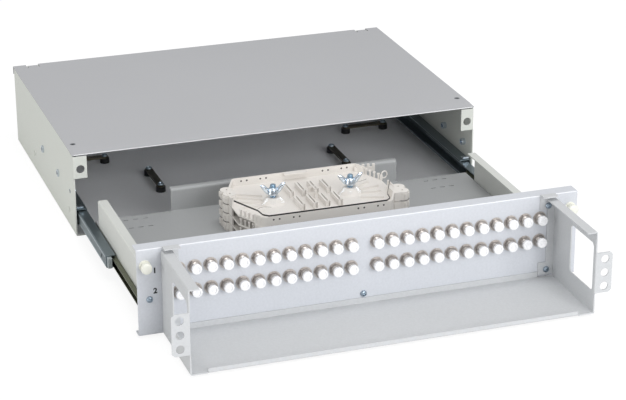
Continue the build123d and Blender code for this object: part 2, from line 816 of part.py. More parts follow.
# Trough for the patch cords, folded from one sheet
with BuildPart() as patch_trough:
    with BuildSketch(Plane.XZ.offset(-trough_front)):
        with BuildLine():
            FilletPolyline(
                (trough_top_flange - trough_half, trough_top),
                (-trough_half, trough_top),
                (-trough_half, trough_bottom),
                (trough_half, trough_bottom),
                (trough_half, trough_top),
                (trough_half - trough_top_flange, trough_top),
                radius=bend,
            )
            offset(amount=sheet, side=Side.LEFT)
        make_face()
    extrude(amount=-(trough_depth - bend))
    with Locations((0, trough_front, trough_bottom)):
        Box(2 * (shelf_lip_half + seam), 2 * bend, 2 * bend, mode=Mode.SUBTRACT)
    with Locations((-trough_half, trough_front, trough_ear_centre), (trough_half, trough_front, trough_ear_centre)):
        Box(2 * bend, 2 * bend, trough_ear_height + 2 * seam, mode=Mode.SUBTRACT)
    with BuildSketch(Plane.YZ):
        with BuildLine():
            FilletPolyline(
                (trough_front + trough_depth / 2, trough_bottom),
                (trough_front, trough_bottom),
                (trough_front, trough_bottom + shelf_lip_height),
                radius=bend,
            )
            offset(amount=sheet, side=Side.RIGHT)
        make_face()
    extrude(amount=shelf_lip_half, both=True)
    with BuildSketch(Plane.YZ):
        with BuildLine():
            FilletPolyline(
                (trough_front + trough_depth / 2, trough_bottom),
                (panel_y, trough_bottom),
                (panel_y, trough_bottom + shelf_rear_flange),
                radius=bend,
            )
            offset(amount=sheet, side=Side.LEFT)
        make_face()
    extrude(amount=trough_half - tab_width - seam, both=True)
    with BuildSketch(Plane.XY.offset(trough_bottom + corner_relief)):
        with BuildLine():
            FilletPolyline(
                (trough_half, panel_y - 4 * bend),
                (trough_half, panel_y),
                (trough_half - rear_strip, panel_y),
                radius=bend,
            )
            offset(amount=sheet, side=Side.LEFT)
        make_face()
        mirror(about=Plane.YZ)
    extrude(amount=trough_top - trough_bottom - corner_relief - bend)
    for side in (-1, 1):
        with BuildSketch(Plane.YZ.offset(side * (trough_half - bend))):
            with BuildLine():
                FilletPolyline(
                    (panel_y, tab_bottom_z),
                    (panel_y, top_tab_top),
                    (panel_y - top_tab_flap, top_tab_top),
                    radius=bend,
                )
                offset(amount=sheet, side=Side.LEFT)
            make_face()
        extrude(amount=side * (bend - tab_width))
        with BuildSketch(Plane.XZ.offset(panel_front)):
            with Locations((side * (trough_half - (tab_width + bend) / 2), trough_bottom + corner_relief)):
                Rectangle(tab_width - bend, tab_height - corner_relief, align=(Align.CENTER, Align.MIN))
        extrude(amount=sheet)
    with BuildSketch(Plane.XY.offset(trough_ear_bottom)):
        with BuildLine():
            FilletPolyline(
                (trough_half - sheet, trough_front + 4 * bend),
                (trough_half - sheet, trough_front),
                (trough_half + trough_ear, trough_front),
                radius=bend,
            )
            offset(amount=sheet, side=Side.LEFT)
        make_face()
        mirror(about=Plane.YZ)
    extrude(amount=trough_ear_height)
    ear_edges = patch_trough.edges().filter_by(Axis.Y).sort_by(Axis.X)
    chamfer(ear_edges[:2] + ear_edges[-2:], trough_ear_corner)
    with BuildSketch(Plane.XZ.offset(-trough_front)):
        with Locations(*trough_ear_holes):
            Circle(trough_ear_hole_r)
    extrude(amount=-sheet, mode=Mode.SUBTRACT)
    with BuildSketch(Plane.YZ):
        with Locations((trough_front + window_front + window_length / 2, (window_bottom + window_top) / 2)):
            RectangleRounded(window_length, window_top - window_bottom, window_corner)
    extrude(amount=trough_half, both=True, mode=Mode.SUBTRACT)
    with BuildSketch(Plane.XZ.offset(panel_front)):
        with Locations(*top_tab_screws, *bottom_tab_screws):
            Circle(screw_r + seat_play)
    extrude(amount=sheet, mode=Mode.SUBTRACT)
save(patch_trough, "patch_trough")

trough_screws = pan_screws(
    Plane.XZ.offset(panel_front + sheet),
    top_tab_screws + bottom_tab_screws,
    screw_head_r,
    screw_head,
)
save(trough_screws, "trough_screws")

# Latches: a grommet in the panel and a push plunger through it
with BuildPart() as latch_grommet:
    with BuildSketch(Plane.XZ.offset(panel_front)):
        with Locations((latch_x, latch_z)):
            Circle(latch_flange_r)
    extrude(amount=latch_flange)
    with BuildSketch(Plane.XZ.offset(panel_front)):
        with Locations((latch_x, latch_z)):
            Circle(latch_sleeve_r)
    extrude(amount=-latch_sleeve)
    with BuildSketch(Plane.XZ.offset(panel_front + latch_flange)):
        with Locations((latch_x, latch_z)):
            Circle(latch_shaft_r + latch_play)
    extrude(amount=-(latch_flange + latch_sleeve), mode=Mode.SUBTRACT)
save_pair(latch_grommet, "latch_grommet")

with BuildPart() as latch_plunger:
    with BuildSketch(Plane.XZ.offset(panel_front + knob_base)):
        with Locations((latch_x, latch_z)):
            Circle(latch_knob_r)
    extrude(amount=latch_knob)
    chamfer(latch_plunger.faces().sort_by(Axis.Y)[0].edges(), latch_knob_chamfer)
    with BuildSketch(Plane.XZ.offset(panel_front + knob_base)):
        with Locations((latch_x, latch_z)):
            Circle(latch_shaft_r)
    extrude(amount=-(knob_base + latch_tip))
    chamfer(latch_plunger.faces().sort_by(Axis.Y)[-1].edges(), latch_knob_chamfer)
save_pair(latch_plunger, "latch_plunger")

# Splice tray: open dish with ledges, guide hubs, splice combs and lobed cord entries
with BuildPart() as splice_tray:
    with BuildSketch():
        with BuildLine():
            FilletPolyline(*tray_outline, radius=splice_corner, close=True)
        make_face()
    extrude(amount=splice_tray_height)
    offset(amount=-splice_wall, openings=splice_tray.faces().sort_by(Axis.Z)[-1])
    with Locations(*[(end * splice_half_length, end * entry_gap_start, splice_wall) for end in (-1, 1)]):
        Box(
            2 * (splice_half_length - splice_front_half),
            2 * entry_gap_length,
            splice_tray_height,
            align=(Align.CENTER, Align.CENTER, Align.MIN),
            mode=Mode.SUBTRACT,
        )
    with BuildSketch(Plane.XY.offset(splice_tray_height)):
        for y_side in (-1, 1):
            with Locations((0, y_side * (splice_half_width - ledge_depth / 2))):
                Rectangle(2 * ledge_half, ledge_depth)
    extrude(amount=-ledge_sheet)
    with Locations(*[(x, stud_local_y, splice_wall) for x in (-stud_x, stud_x)]):
        Cone(core_r, core_top_r, core_height, align=(Align.CENTER, Align.CENTER, Align.MIN))
    with BuildSketch(Plane.XY.offset(splice_wall)):
        for i in range(comb_ribs):
            for y_side in (-1, 1):
                rib_x = (i - (comb_ribs - 1) / 2) * comb_pitch
                with Locations((rib_x, y_side * (comb_offset + comb_length / 2))):
                    Rectangle(comb_rib, comb_length)
    extrude(amount=comb_height)
    with BuildSketch():
        for end, reach in entry_tabs:
            root = reach - entry_tab_lobe_r - entry_tab_start
            with Locations((end * (entry_tab_start + root / 2), -end * (entry_tab_inner + entry_tab_width / 2))):
                Rectangle(root, entry_tab_width)
        with Locations(*entry_lobes):
            Circle(entry_tab_lobe_r)
    extrude(amount=entry_tab_height)
    with BuildSketch():
        with Locations(*entry_lobes):
            Circle(entry_tab_hole_r)
        with Locations((-stud_x, stud_local_y), (stud_x, stud_local_y)):
            Circle(stud_r + stud_hole_play)
    extrude(amount=splice_tray_height, mode=Mode.SUBTRACT)
for level in range(stack_count):
    with BuildPart() as stacked_tray:
        with Locations((0, stack_y, tray_floor + level * splice_tray_height)):
            add(splice_tray.part)
    save(stacked_tray, f"splice_tray_{level + 1}")

with BuildPart() as splice_lid:
    with BuildSketch(Plane((0, stack_y, lid_z))):
        with BuildLine():
            Polyline(*lid_outline, close=True)
        make_face()
        with Locations((-stud_x, stud_local_y), (stud_x, stud_local_y)):
            Circle(stud_r + stud_hole_play, mode=Mode.SUBTRACT)
    extrude(amount=lid_sheet)
save(splice_lid, "splice_lid")

with BuildPart() as stud:
    with BuildSketch(Plane.XY.offset(tray_floor - sheet)):
        with Locations((stud_x, stud_y)):
            Circle(stud_r)
    extrude(amount=sheet + stud_height)
    chamfer(stud.faces().sort_by(Axis.Z)[-1].edges(), stud_chamfer)
save_pair(stud, "stud")

with BuildPart() as wing_nut:
    with Locations((stud_x, stud_y, lid_z + lid_sheet)):
        Cone(nut_base_r, nut_top_r, nut_height, align=(Align.CENTER, Align.CENTER, Align.MIN))
    with BuildSketch(Plane((stud_x, stud_y, lid_z + lid_sheet), x_dir=(1, 0, 0), z_dir=(0, -1, 0))):
        with BuildLine():
            Polyline(*wing_outline, close=True)
        make_face()
    extrude(amount=wing_sheet / 2, both=True)
    mirror(about=Plane.YZ.offset(stud_x))
    with Locations((stud_x, stud_y, lid_z + lid_sheet)):
        Cylinder(stud_r + stud_play, 2 * wing_height, mode=Mode.SUBTRACT)
save_pair(wing_nut, "wing_nut")

# Cable clamps on the housing floor: posts, bars and screws
with BuildPart() as clamp_posts:
    with BuildSketch(Plane.XY.offset(sheet)):
        with Locations(*post_places):
            Circle(post_r)
    extrude(amount=post_height)
    with BuildSketch():
        with Locations(*post_places):
            Circle(post_foot_r)
    extrude(amount=sheet)
    with BuildSketch(Plane.XY.offset(clamp_bar_z)):
        with Locations(*post_places):
            Circle(screw_r + seat_play)
    extrude(amount=-post_bore, mode=Mode.SUBTRACT)
save(clamp_posts, "clamp_posts")

with BuildPart() as clamp_front:
    with BuildSketch(Plane.XY.offset(clamp_bar_z)):
        with Locations((clamp_x, clamp_y)):
            SlotCenterToCenter(clamp_pitch, clamp_bar_width, rotation=90)
        with Locations(*front_posts):
            Circle(screw_r + seat_play, mode=Mode.SUBTRACT)
    extrude(amount=clamp_bar_sheet)
save_pair(clamp_front, "cable_clamp_front")

with BuildPart() as clamp_rear:
    with BuildSketch(Plane.XY.offset(clamp_bar_z)):
        with Locations((rear_clamp_x, rear_clamp_y)):
            SlotCenterToCenter(rear_clamp_pitch, clamp_bar_width)
        with Locations(*rear_posts):
            Circle(screw_r + seat_play, mode=Mode.SUBTRACT)
    extrude(amount=clamp_bar_sheet)
save_pair(clamp_rear, "cable_clamp_rear")

clamp_screws = pan_screws(Plane.XY.offset(clamp_bar_z + clamp_bar_sheet), post_places, clamp_head_r, clamp_head)
save(clamp_screws, "clamp_screws")
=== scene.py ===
"""Finishes, fine detail, light and camera for the sliding fibre patch panel."""

import logging
import math
from dataclasses import dataclass, field
from enum import Enum
from typing import Callable, Iterable, Sequence

import bmesh
import bpy
from mathutils import Matrix, Vector


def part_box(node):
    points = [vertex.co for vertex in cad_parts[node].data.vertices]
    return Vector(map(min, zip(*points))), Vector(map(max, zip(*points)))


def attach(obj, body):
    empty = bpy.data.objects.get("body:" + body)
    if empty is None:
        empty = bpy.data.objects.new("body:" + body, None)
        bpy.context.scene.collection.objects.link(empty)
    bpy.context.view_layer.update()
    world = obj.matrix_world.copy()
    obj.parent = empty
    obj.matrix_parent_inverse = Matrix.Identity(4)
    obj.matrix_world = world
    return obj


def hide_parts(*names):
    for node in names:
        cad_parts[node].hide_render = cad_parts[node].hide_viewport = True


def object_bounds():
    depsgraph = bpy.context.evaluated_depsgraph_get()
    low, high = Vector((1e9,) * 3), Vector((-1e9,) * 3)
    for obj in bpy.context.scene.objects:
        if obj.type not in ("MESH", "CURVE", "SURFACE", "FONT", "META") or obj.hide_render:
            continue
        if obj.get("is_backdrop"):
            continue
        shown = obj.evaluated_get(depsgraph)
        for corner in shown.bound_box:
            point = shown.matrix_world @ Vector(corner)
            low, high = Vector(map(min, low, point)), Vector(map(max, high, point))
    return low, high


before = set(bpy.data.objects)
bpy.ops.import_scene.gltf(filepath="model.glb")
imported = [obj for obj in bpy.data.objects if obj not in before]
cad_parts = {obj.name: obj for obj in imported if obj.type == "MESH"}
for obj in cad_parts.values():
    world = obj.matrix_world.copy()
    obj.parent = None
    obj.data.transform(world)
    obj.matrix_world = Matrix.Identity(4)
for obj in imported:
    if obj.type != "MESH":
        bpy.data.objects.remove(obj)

LOG = logging.getLogger("patch_panel")
MM = 0.001
TURN = 2 * math.pi
HAIR = 0.02 * MM  # smallest step that keeps one face clear of another
TINY = 1e-6  # length in metres, or share, that counts as nothing
WHITE = (1.0, 1.0, 1.0, 1.0)
ASKEW = Vector((0.31, 0.17, 0.93))  # way that no tube runs, from which its sides are found

Colour = tuple[float, float, float]
Ring = Callable[[float], tuple[float, float]]
Route = Sequence[tuple[float, float]]
Place = tuple[float, float, float]
Sockets = tuple[tuple[str, str], ...]


class Facing(Enum):
    """Way that a turned piece's own axis points, with the turn that brings +Z there."""

    UP = Matrix.Identity(4)
    FRONT = Matrix.Rotation(math.pi / 2, 4, "X")

    def axis(self) -> Vector:
        """Return the unit vector along the piece's axis."""
        return (self.value @ Vector((0, 0, 1, 0))).to_3d().normalized()


def srgb(red: int, green: int, blue: int) -> Colour:
    """Turn a colour given in 8-bit display values into the linear values that shaders take.

    Args:
        red: Red, from 0 to 255.
        green: Green, from 0 to 255.
        blue: Blue, from 0 to 255.

    Returns:
        The linear colour.
    """

    def linear(value: int) -> float:
        """Return one channel in linear light."""
        share = value / 255
        return share / 12.92 if share <= 0.04045 else ((share + 0.055) / 1.055) ** 2.4

    return linear(red), linear(green), linear(blue)


def rgba(colour: Colour) -> tuple[float, float, float, float]:
    """Return the colour with full opacity."""
    return (*colour, 1.0)


def feed(tree: bpy.types.NodeTree, node: bpy.types.Node, inputs: dict[str | int, object]) -> None:
    """Link or set a node's inputs.

    Args:
        tree: Tree that holds the node.
        node: The node.
        inputs: Socket to link or constant to set, by the input's name or number.
    """
    for key, value in inputs.items():
        if isinstance(value, bpy.types.NodeSocket):
            tree.links.new(value, node.inputs[key])
        else:
            node.inputs[key].default_value = value


def add_node(
    tree: bpy.types.NodeTree, kind: str, inputs: dict[str | int, object] | None = None, **options: object
) -> bpy.types.Node:
    """Add a node to a tree.

    Args:
        tree: Tree that gets the node.
        kind: Type of the node.
        inputs: Socket to link or constant to set, by the input's name or number.
        options: The node's options by name, which are set before its inputs.

    Returns:
        The new node.
    """
    node = tree.nodes.new(kind)
    for option, value in options.items():
        setattr(node, option, value)
    feed(tree, node, inputs or {})
    return node


def maths(
    tree: bpy.types.NodeTree, operation: str, *operands: object, clamp: bool = False
) -> bpy.types.NodeSocket:
    """Add a node that calculates with numbers.

    Args:
        tree: Tree that gets the node.
        operation: What it calculates.
        operands: Socket to link or constant to set, for each input in order.
        clamp: Whether the result is kept between 0 and 1.

    Returns:
        The socket with the result.
    """
    inputs = dict(enumerate(operands))
    return add_node(tree, "ShaderNodeMath", inputs, operation=operation, use_clamp=clamp).outputs[0]


def vector_maths(tree: bpy.types.NodeTree, operation: str, *operands: object) -> bpy.types.NodeSocket:
    """Add a node that calculates with vectors, and return the socket with its result."""
    return add_node(tree, "ShaderNodeVectorMath", dict(enumerate(operands)), operation=operation).outputs[0]


def mixed_colour(
    tree: bpy.types.NodeTree, share: bpy.types.NodeSocket, first: object, second: object
) -> bpy.types.NodeSocket:
    """Add a node that mixes two colours.

    Args:
        tree: Tree that gets the node.
        share: Socket with the second colour's share.
        first: First colour, as a socket or a constant.
        second: Second colour, as a socket or a constant.

    Returns:
        The socket with the mixed colour.
    """
    mix = add_node(tree, "ShaderNodeMix", {"Factor": share, "A": first, "B": second}, data_type="RGBA")
    return mix.outputs["Result"]


class ShaderGroups:
    """Shader node groups that several finishes share, each built once."""

    CLOUDS_PER_METRE = 9.0

    @staticmethod
    def _new(
        name: str, inputs: Sequence[tuple[str, str, object]], outputs: Sockets
    ) -> tuple[bpy.types.NodeTree, bpy.types.Node, bpy.types.Node, bpy.types.NodeSocket]:
        """Make a shader group with its sockets and its place on the object.

        Args:
            name: Name of the group.
            inputs: Name, socket type and default of each input.
            outputs: Name and socket type of each output.

        Returns:
            The group, its input and output nodes and the socket with Object coordinates.
        """
        group = bpy.data.node_groups.new(name, "ShaderNodeTree")
        for label, kind, default in inputs:
            socket = group.interface.new_socket(label, in_out="INPUT", socket_type=f"NodeSocket{kind}")
            socket.default_value = default
        for label, kind in outputs:
            group.interface.new_socket(label, in_out="OUTPUT", socket_type=f"NodeSocket{kind}")
        source, sink = group.nodes.new("NodeGroupInput"), group.nodes.new("NodeGroupOutput")
        return group, source, sink, group.nodes.new("ShaderNodeTexCoord").outputs["Object"]

    @classmethod
    def grain(cls) -> bpy.types.NodeTree:
        """Return the group for a finely speckled surface: tinted colour and height of its grain."""
        name = "surface_grain"
        if name in bpy.data.node_groups:
            return bpy.data.node_groups[name]
        group, source, sink, place = cls._new(
            name,
            (
                ("Colour", "Color", (0.8, 0.8, 0.8, 1.0)),
                ("Speckle", "Float", 0.1),
                ("Grains Per Metre", "Float", 900.0),
                ("Cloud", "Float", 0.03),
            ),
            (("Colour", "Color"), ("Height", "Float")),
        )
        given = source.outputs
        scale = given["Grains Per Metre"]
        fine = add_node(group, "ShaderNodeTexNoise", {"Vector": place, "Scale": scale, "Detail": 2.0})
        broad = add_node(group, "ShaderNodeTexNoise", {"Vector": place, "Scale": cls.CLOUDS_PER_METRE})
        shade = 1.0
        for texture, amount in ((fine, "Speckle"), (broad, "Cloud")):
            centred = maths(group, "SUBTRACT", texture.outputs["Fac"], 0.5)
            shade = maths(group, "MULTIPLY_ADD", centred, given[amount], shade)
        tint = {0: given["Colour"], "Scale": shade}
        tinted = add_node(group, "ShaderNodeVectorMath", tint, operation="SCALE").outputs[0]
        feed(group, sink, {"Colour": tinted, "Height": fine.outputs["Fac"]})
        return group

    @classmethod
    def inside_box(cls) -> bpy.types.NodeTree:
        """Return the group that masks the part of a surface that lies inside a box."""
        name = "inside_box"
        if name in bpy.data.node_groups:
            return bpy.data.node_groups[name]
        group, source, sink, place = cls._new(
            name,
            (("Low", "Vector", (-1.0, -1.0, -1.0)), ("High", "Vector", (1.0, 1.0, 1.0))),
            (("Mask", "Float"),),
        )
        above = vector_maths(group, "SUBTRACT", place, source.outputs["Low"])
        below = vector_maths(group, "SUBTRACT", source.outputs["High"], place)
        least = vector_maths(group, "MINIMUM", above, below)
        lowest, *others = add_node(group, "ShaderNodeSeparateXYZ", {0: least}).outputs
        for other in others:
            lowest = maths(group, "MINIMUM", lowest, other)
        feed(group, sink, {"Mask": maths(group, "GREATER_THAN", lowest, 0.0)})
        return group

    @classmethod
    def brushing(cls) -> bpy.types.NodeTree:
        """Return the group for drawn or plated metal: uneven roughness and a faint tint drift."""
        name = "metal_drift"
        if name in bpy.data.node_groups:
            return bpy.data.node_groups[name]
        group, source, sink, place = cls._new(
            name,
            (
                ("Colour", "Color", (0.6, 0.6, 0.6, 1.0)),
                ("Drift Colour", "Color", (0.5, 0.5, 0.5, 1.0)),
                ("Drift", "Float", 0.4),
                ("Roughness", "Float", 0.3),
                ("Unevenness", "Float", 0.15),
                ("Stretch", "Vector", (60.0, 60.0, 60.0)),
            ),
            (("Colour", "Color"), ("Roughness", "Float")),
        )
        given = source.outputs
        stretched = vector_maths(group, "MULTIPLY", place, given["Stretch"])
        drift = add_node(group, "ShaderNodeTexNoise", {"Vector": stretched, "Scale": 1.0}).outputs["Fac"]
        amount = maths(group, "MULTIPLY", drift, given["Drift"], clamp=True)
        colour = mixed_colour(group, amount, given["Colour"], given["Drift Colour"])
        rough = maths(group, "MULTIPLY_ADD", drift, given["Unevenness"], given["Roughness"])
        feed(group, sink, {"Colour": colour, "Roughness": rough})
        return group


def new_material(name: str) -> tuple[bpy.types.Material, bpy.types.ShaderNode]:
    """Make a node material.

    Args:
        name: Name of the material.

    Returns:
        The material and its Principled node.
    """
    material = bpy.data.materials.new(name)
    material.use_nodes = True
    return material, material.node_tree.nodes["Principled BSDF"]


@dataclass(frozen=True)
class Finish:
    """Named look of a surface. Each kind of finish adds its own nodes to it."""

    name: str
    colour: Colour

    def build(self) -> bpy.types.Material:
        """Return the material, made on first use."""
        if self.name not in bpy.data.materials:
            material, shader = new_material(self.name)
            self.shade(material.node_tree, shader)
        return bpy.data.materials[self.name]

    def shade(self, tree: bpy.types.NodeTree, shader: bpy.types.ShaderNode) -> None:
        """Set up the material's nodes and feed its Principled node."""
        raise NotImplementedError


@dataclass(frozen=True)
class Grained(Finish):
    """Finish with fine speckles, broad clouds and a fine raised grain."""

    roughness: float = 0.4
    speckle: float = 0.04
    cloud: float = 0.06
    grains_per_metre: float = 700.0
    bump_mm: float = 0.01
    bump_strength: float = 1.0

    def plain_colour(self, tree: bpy.types.NodeTree) -> object:
        """Return the colour under the grain, as a constant or a socket of the tree."""
        return rgba(self.colour)

    def shade(self, tree: bpy.types.NodeTree, shader: bpy.types.ShaderNode) -> None:
        """Feed the speckled colour, the bump and the roughness."""
        values = {
            "Colour": self.plain_colour(tree),
            "Speckle": self.speckle,
            "Grains Per Metre": self.grains_per_metre,
            "Cloud": self.cloud,
        }
        grain = add_node(tree, "ShaderNodeGroup", values, node_tree=ShaderGroups.grain())
        height = grain.outputs["Height"]
        values = {"Distance": self.bump_mm * MM, "Strength": self.bump_strength, "Height": height}
        normal = add_node(tree, "ShaderNodeBump", values).outputs["Normal"]
        colour = grain.outputs["Colour"]
        feed(tree, shader, {"Base Color": colour, "Normal": normal, "Roughness": self.roughness})


@dataclass(frozen=True)
class PowderCoat(Grained):
    """Finely textured powder coat on sheet steel, which may be painted paler inside a box, as painted light.
    """

    roughness: float = 0.5
    speckle: float = 0.16
    cloud: float = 0.04
    grains_per_metre: float = 1100.0
    bump_mm: float = 0.05
    bump_strength: float = 0.6
    gloss: float = 0.45
    # Paler colour painted inside the box: painted light in a shaded inside.
    painted_light_colour: Colour | None = None
    painted_light_low_mm: tuple[float, float, float] = (-216.1, 0.7, 0.6)
    painted_light_high_mm: tuple[float, float, float] = (216.1, 295.8, 87.0)

    def plain_colour(self, tree: bpy.types.NodeTree) -> object:
        """Return the coat's colour, mixed inside the box with the paler colour that paints light there."""
        outer = rgba(self.colour)
        if self.painted_light_colour is None:
            return outer
        box = {"Low": self.painted_light_low_mm, "High": self.painted_light_high_mm}
        corners = {name: tuple(value * MM for value in corner) for name, corner in box.items()}
        inside = add_node(tree, "ShaderNodeGroup", corners, node_tree=ShaderGroups.inside_box())
        return mixed_colour(tree, inside.outputs["Mask"], outer, rgba(self.painted_light_colour))

    def shade(self, tree: bpy.types.NodeTree, shader: bpy.types.ShaderNode) -> None:
        """Add the coat's gloss to its grain."""
        super().shade(tree, shader)
        feed(tree, shader, {"Specular IOR Level": self.gloss})


@dataclass(frozen=True)
class PlatedMetal(Finish):
    """Plated, rolled or turned metal with a slight drift in tint and gloss."""

    drift_colour: Colour
    drift: float = 0.5
    roughness: float = 0.28
    unevenness: float = 0.12
    stretch: tuple[float, float, float] = (60.0, 60.0, 60.0)

    def shade(self, tree: bpy.types.NodeTree, shader: bpy.types.ShaderNode) -> None:
        """Feed the drifting colour and roughness of bare metal."""
        values = {
            "Colour": rgba(self.colour),
            "Drift Colour": rgba(self.drift_colour),
            "Drift": self.drift,
            "Roughness": self.roughness,
            "Unevenness": self.unevenness,
            "Stretch": self.stretch,
        }
        metal = add_node(tree, "ShaderNodeGroup", values, node_tree=ShaderGroups.brushing()).outputs
        feed(tree, shader, {"Base Color": metal["Colour"], "Roughness": metal["Roughness"], "Metallic": 1.0})


@dataclass(frozen=True)
class Moulding(Grained):
    """Moulded plastic or rubber with a faint mould grain."""

    translucency: float = 0.0
    scatter_radius: tuple[float, float, float] = (0.004, 0.004, 0.003)
    scatter_scale: float = 0.3

    def shade(self, tree: bpy.types.NodeTree, shader: bpy.types.ShaderNode) -> None:
        """Add the light that soaks into a pale plastic."""
        super().shade(tree, shader)
        if self.translucency:
            feed(
                tree,
                shader,
                {
                    "Subsurface Weight": self.translucency,
                    "Subsurface Radius": self.scatter_radius,
                    "Subsurface Scale": self.scatter_scale,
                },
            )


@dataclass(frozen=True)
class ClearSheet(Finish):
    """Clear plate, drawn as the thin bright film that mirrors at its faces, more at a flat angle."""

    straight_mirror: float = 0.02
    flat_mirror: float = 0.3
    steepness: float = 3.0
    roughness: float = 0.05

    def shade(self, tree: bpy.types.NodeTree, shader: bpy.types.ShaderNode) -> None:
        """Feed a mirror that shows on front faces alone."""
        slant = add_node(tree, "ShaderNodeLayerWeight", {"Blend": 0.5}).outputs["Facing"]
        steep = maths(tree, "POWER", slant, self.steepness)
        mirror = maths(tree, "MULTIPLY_ADD", steep, self.flat_mirror, self.straight_mirror)
        behind = add_node(tree, "ShaderNodeNewGeometry").outputs["Backfacing"]
        film = maths(tree, "SUBTRACT", mirror, behind, clamp=True)
        feed(tree, shader, {"Base Color": rgba(self.colour), "Metallic": 1.0, "Alpha": film})
        feed(tree, shader, {"Roughness": self.roughness})


@dataclass(frozen=True)
class Ink(Finish):
    """Flat printed ink."""

    roughness: float = 0.6

    def shade(self, tree: bpy.types.NodeTree, shader: bpy.types.ShaderNode) -> None:
        """Feed the plain colour."""
        feed(tree, shader, {"Base Color": rgba(self.colour), "Roughness": self.roughness})


DRAWN = (60.0, 8.0, 60.0)  # drift of metal that was rolled along its length
COARSE = {"speckle": 0.14, "bump_mm": 0.1, "grains_per_metre": 460.0}

# The cover takes a darker copy of the body coat: painted shade on its top.
SHADED_COVER_COAT = PowderCoat("cover_coat_painted_shade", srgb(179, 180, 183))
# The housing's inside is painted paler than its outside: painted light in its shaded interior.
BODY_COAT = PowderCoat("body_coat", srgb(209, 212, 206), painted_light_colour=srgb(250, 251, 253))
SIDE_COAT = PowderCoat("drawer_side_coat", srgb(210, 212, 208))
PANEL_COAT = PowderCoat("panel_coat", srgb(206, 209, 215), **COARSE)
# The drawer's floor takes a darker copy of its sides' coat: painted shade cast by the front panel.
SHADED_TRAY_COAT = PowderCoat("drawer_tray_painted_shade", srgb(169, 171, 172))
# Pale coat of the beads on the cover's front edge and the panel's bend: painted highlight.
HIGHLIGHT_COAT = PowderCoat("painted_edge_highlight", srgb(248, 249, 251), speckle=0.02)
TROUGH_COAT = PowderCoat("trough_coat", srgb(200, 202, 204), **COARSE)
DARK_ZINC = PlatedMetal("dark_zinc", srgb(92, 106, 112), srgb(60, 72, 76), stretch=DRAWN)
# Pale zinc of the slides' beads and lip lines: painted highlight on the dark zinc.
HIGHLIGHT_ZINC = PlatedMetal("painted_highlight_zinc", srgb(196, 206, 210), srgb(150, 162, 168), stretch=DRAWN)
BRASSY_ZINC = PlatedMetal("inner_member_zinc", srgb(118, 122, 104), srgb(96, 92, 66), stretch=DRAWN)
BRIGHT_ZINC = PlatedMetal("bright_zinc", srgb(214, 222, 230), srgb(170, 184, 198), roughness=0.2)
NUT_ZINC = PlatedMetal("wing_nut_zinc", srgb(226, 234, 242), srgb(176, 196, 214), roughness=0.16)
STUD_ZINC = PlatedMetal("stud_zinc", srgb(150, 176, 196), srgb(110, 136, 158), roughness=0.22)
SCREW_ZINC = PlatedMetal("screw_zinc", srgb(176, 190, 202), srgb(120, 136, 150), roughness=0.24)
DULL_ZINC = PlatedMetal("cover_screw_zinc", srgb(132, 136, 140), srgb(90, 92, 96), roughness=0.4)
ADAPTER_METAL = PlatedMetal("adapter_metal", srgb(228, 224, 221), srgb(190, 184, 180), roughness=0.24)
# Darker copy of the adapter metal for the nuts: painted shade round each adapter.
SHADED_NUT_METAL = PlatedMetal(
    "adapter_nut_painted_shade", srgb(188, 182, 179), srgb(144, 137, 133), drift=0.8, roughness=0.34
)
CAP_WHITE = Moulding("cap_white", srgb(208, 208, 211), roughness=0.32, speckle=0.01)
LATCH_CREAM = Moulding("latch_cream", srgb(226, 224, 202), roughness=0.34)
KNOB_WHITE = Moulding("latch_knob_white", srgb(234, 234, 224), roughness=0.3)
TRAY_WHITE = Moulding("tray_white", srgb(250, 246, 243), roughness=0.34, translucency=0.35)
SEAM_SHADE = Moulding("tray_seam", srgb(150, 144, 138), roughness=0.6)
# Dark colour of the tie holes and the entry gaps: painted shade.
HOLE_SHADE = Moulding("tray_hole_shade", srgb(78, 74, 72), roughness=0.7)
# Black of the clear lid's rim, painted shade along its cut edge, and of the thin lines on its top.
LID_SHADE_AND_LINES = Moulding("lid_rim_shade_and_lines", srgb(38, 36, 38))
BUMPER_GREY = Moulding("bumper_grey", srgb(150, 158, 158))
CAGE_BLACK = Moulding("cage_black", srgb(34, 36, 38), roughness=0.5)
POST_BLACK = Moulding("post_black", srgb(24, 25, 27), roughness=0.35)
RUBBER_BLACK = Moulding("rubber_black", srgb(30, 30, 32), roughness=0.65)
CLAMP_METAL = PlatedMetal("clamp_bar_metal", srgb(104, 100, 88), srgb(70, 66, 56), roughness=0.34)
CLEAR_LID = ClearSheet("clear_lid", srgb(246, 245, 244))
BLACK_INK = Ink("black_ink", srgb(20, 22, 26))


def finish_node(names: Iterable[str], finish: Finish) -> None:
    """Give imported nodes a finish, leaving their meshes as they are.

    Args:
        names: Names of the nodes.
        finish: Finish whose material they take.
    """
    for name in names:
        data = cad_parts[name].data
        data.materials.clear()
        data.materials.append(finish.build())


def piece(name: str, mesh: bpy.types.Mesh, finish: Finish, body: str) -> bpy.types.Object:
    """Put a finished mesh in the scene on one body.

    Args:
        name: Name of the piece.
        mesh: Its mesh, in the row frame.
        finish: Finish whose material it takes.
        body: Body that it rides on.

    Returns:
        The new object.
    """
    mesh.materials.clear()
    mesh.materials.append(finish.build())
    obj = bpy.data.objects.new(name, mesh)
    bpy.context.scene.collection.objects.link(obj)
    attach(obj, body)
    LOG.info("made %s on %s", name, body)
    return obj


def smooth(mesh: bpy.types.Mesh, angle: float = 35.0) -> bpy.types.Mesh:
    """Shade a mesh smooth but for its sharp edges.

    Args:
        mesh: The mesh.
        angle: Edges sharper than this many degrees stay sharp.

    Returns:
        The same mesh.
    """
    for polygon in mesh.polygons:
        polygon.use_smooth = True
    mesh.set_sharp_from_angle(angle=math.radians(angle))
    return mesh


def turns(steps: int) -> list[tuple[float, float]]:
    """Return the cosine and the sine of equal steps round a circle."""
    return [(math.cos(TURN * step / steps), math.sin(TURN * step / steps)) for step in range(steps)]


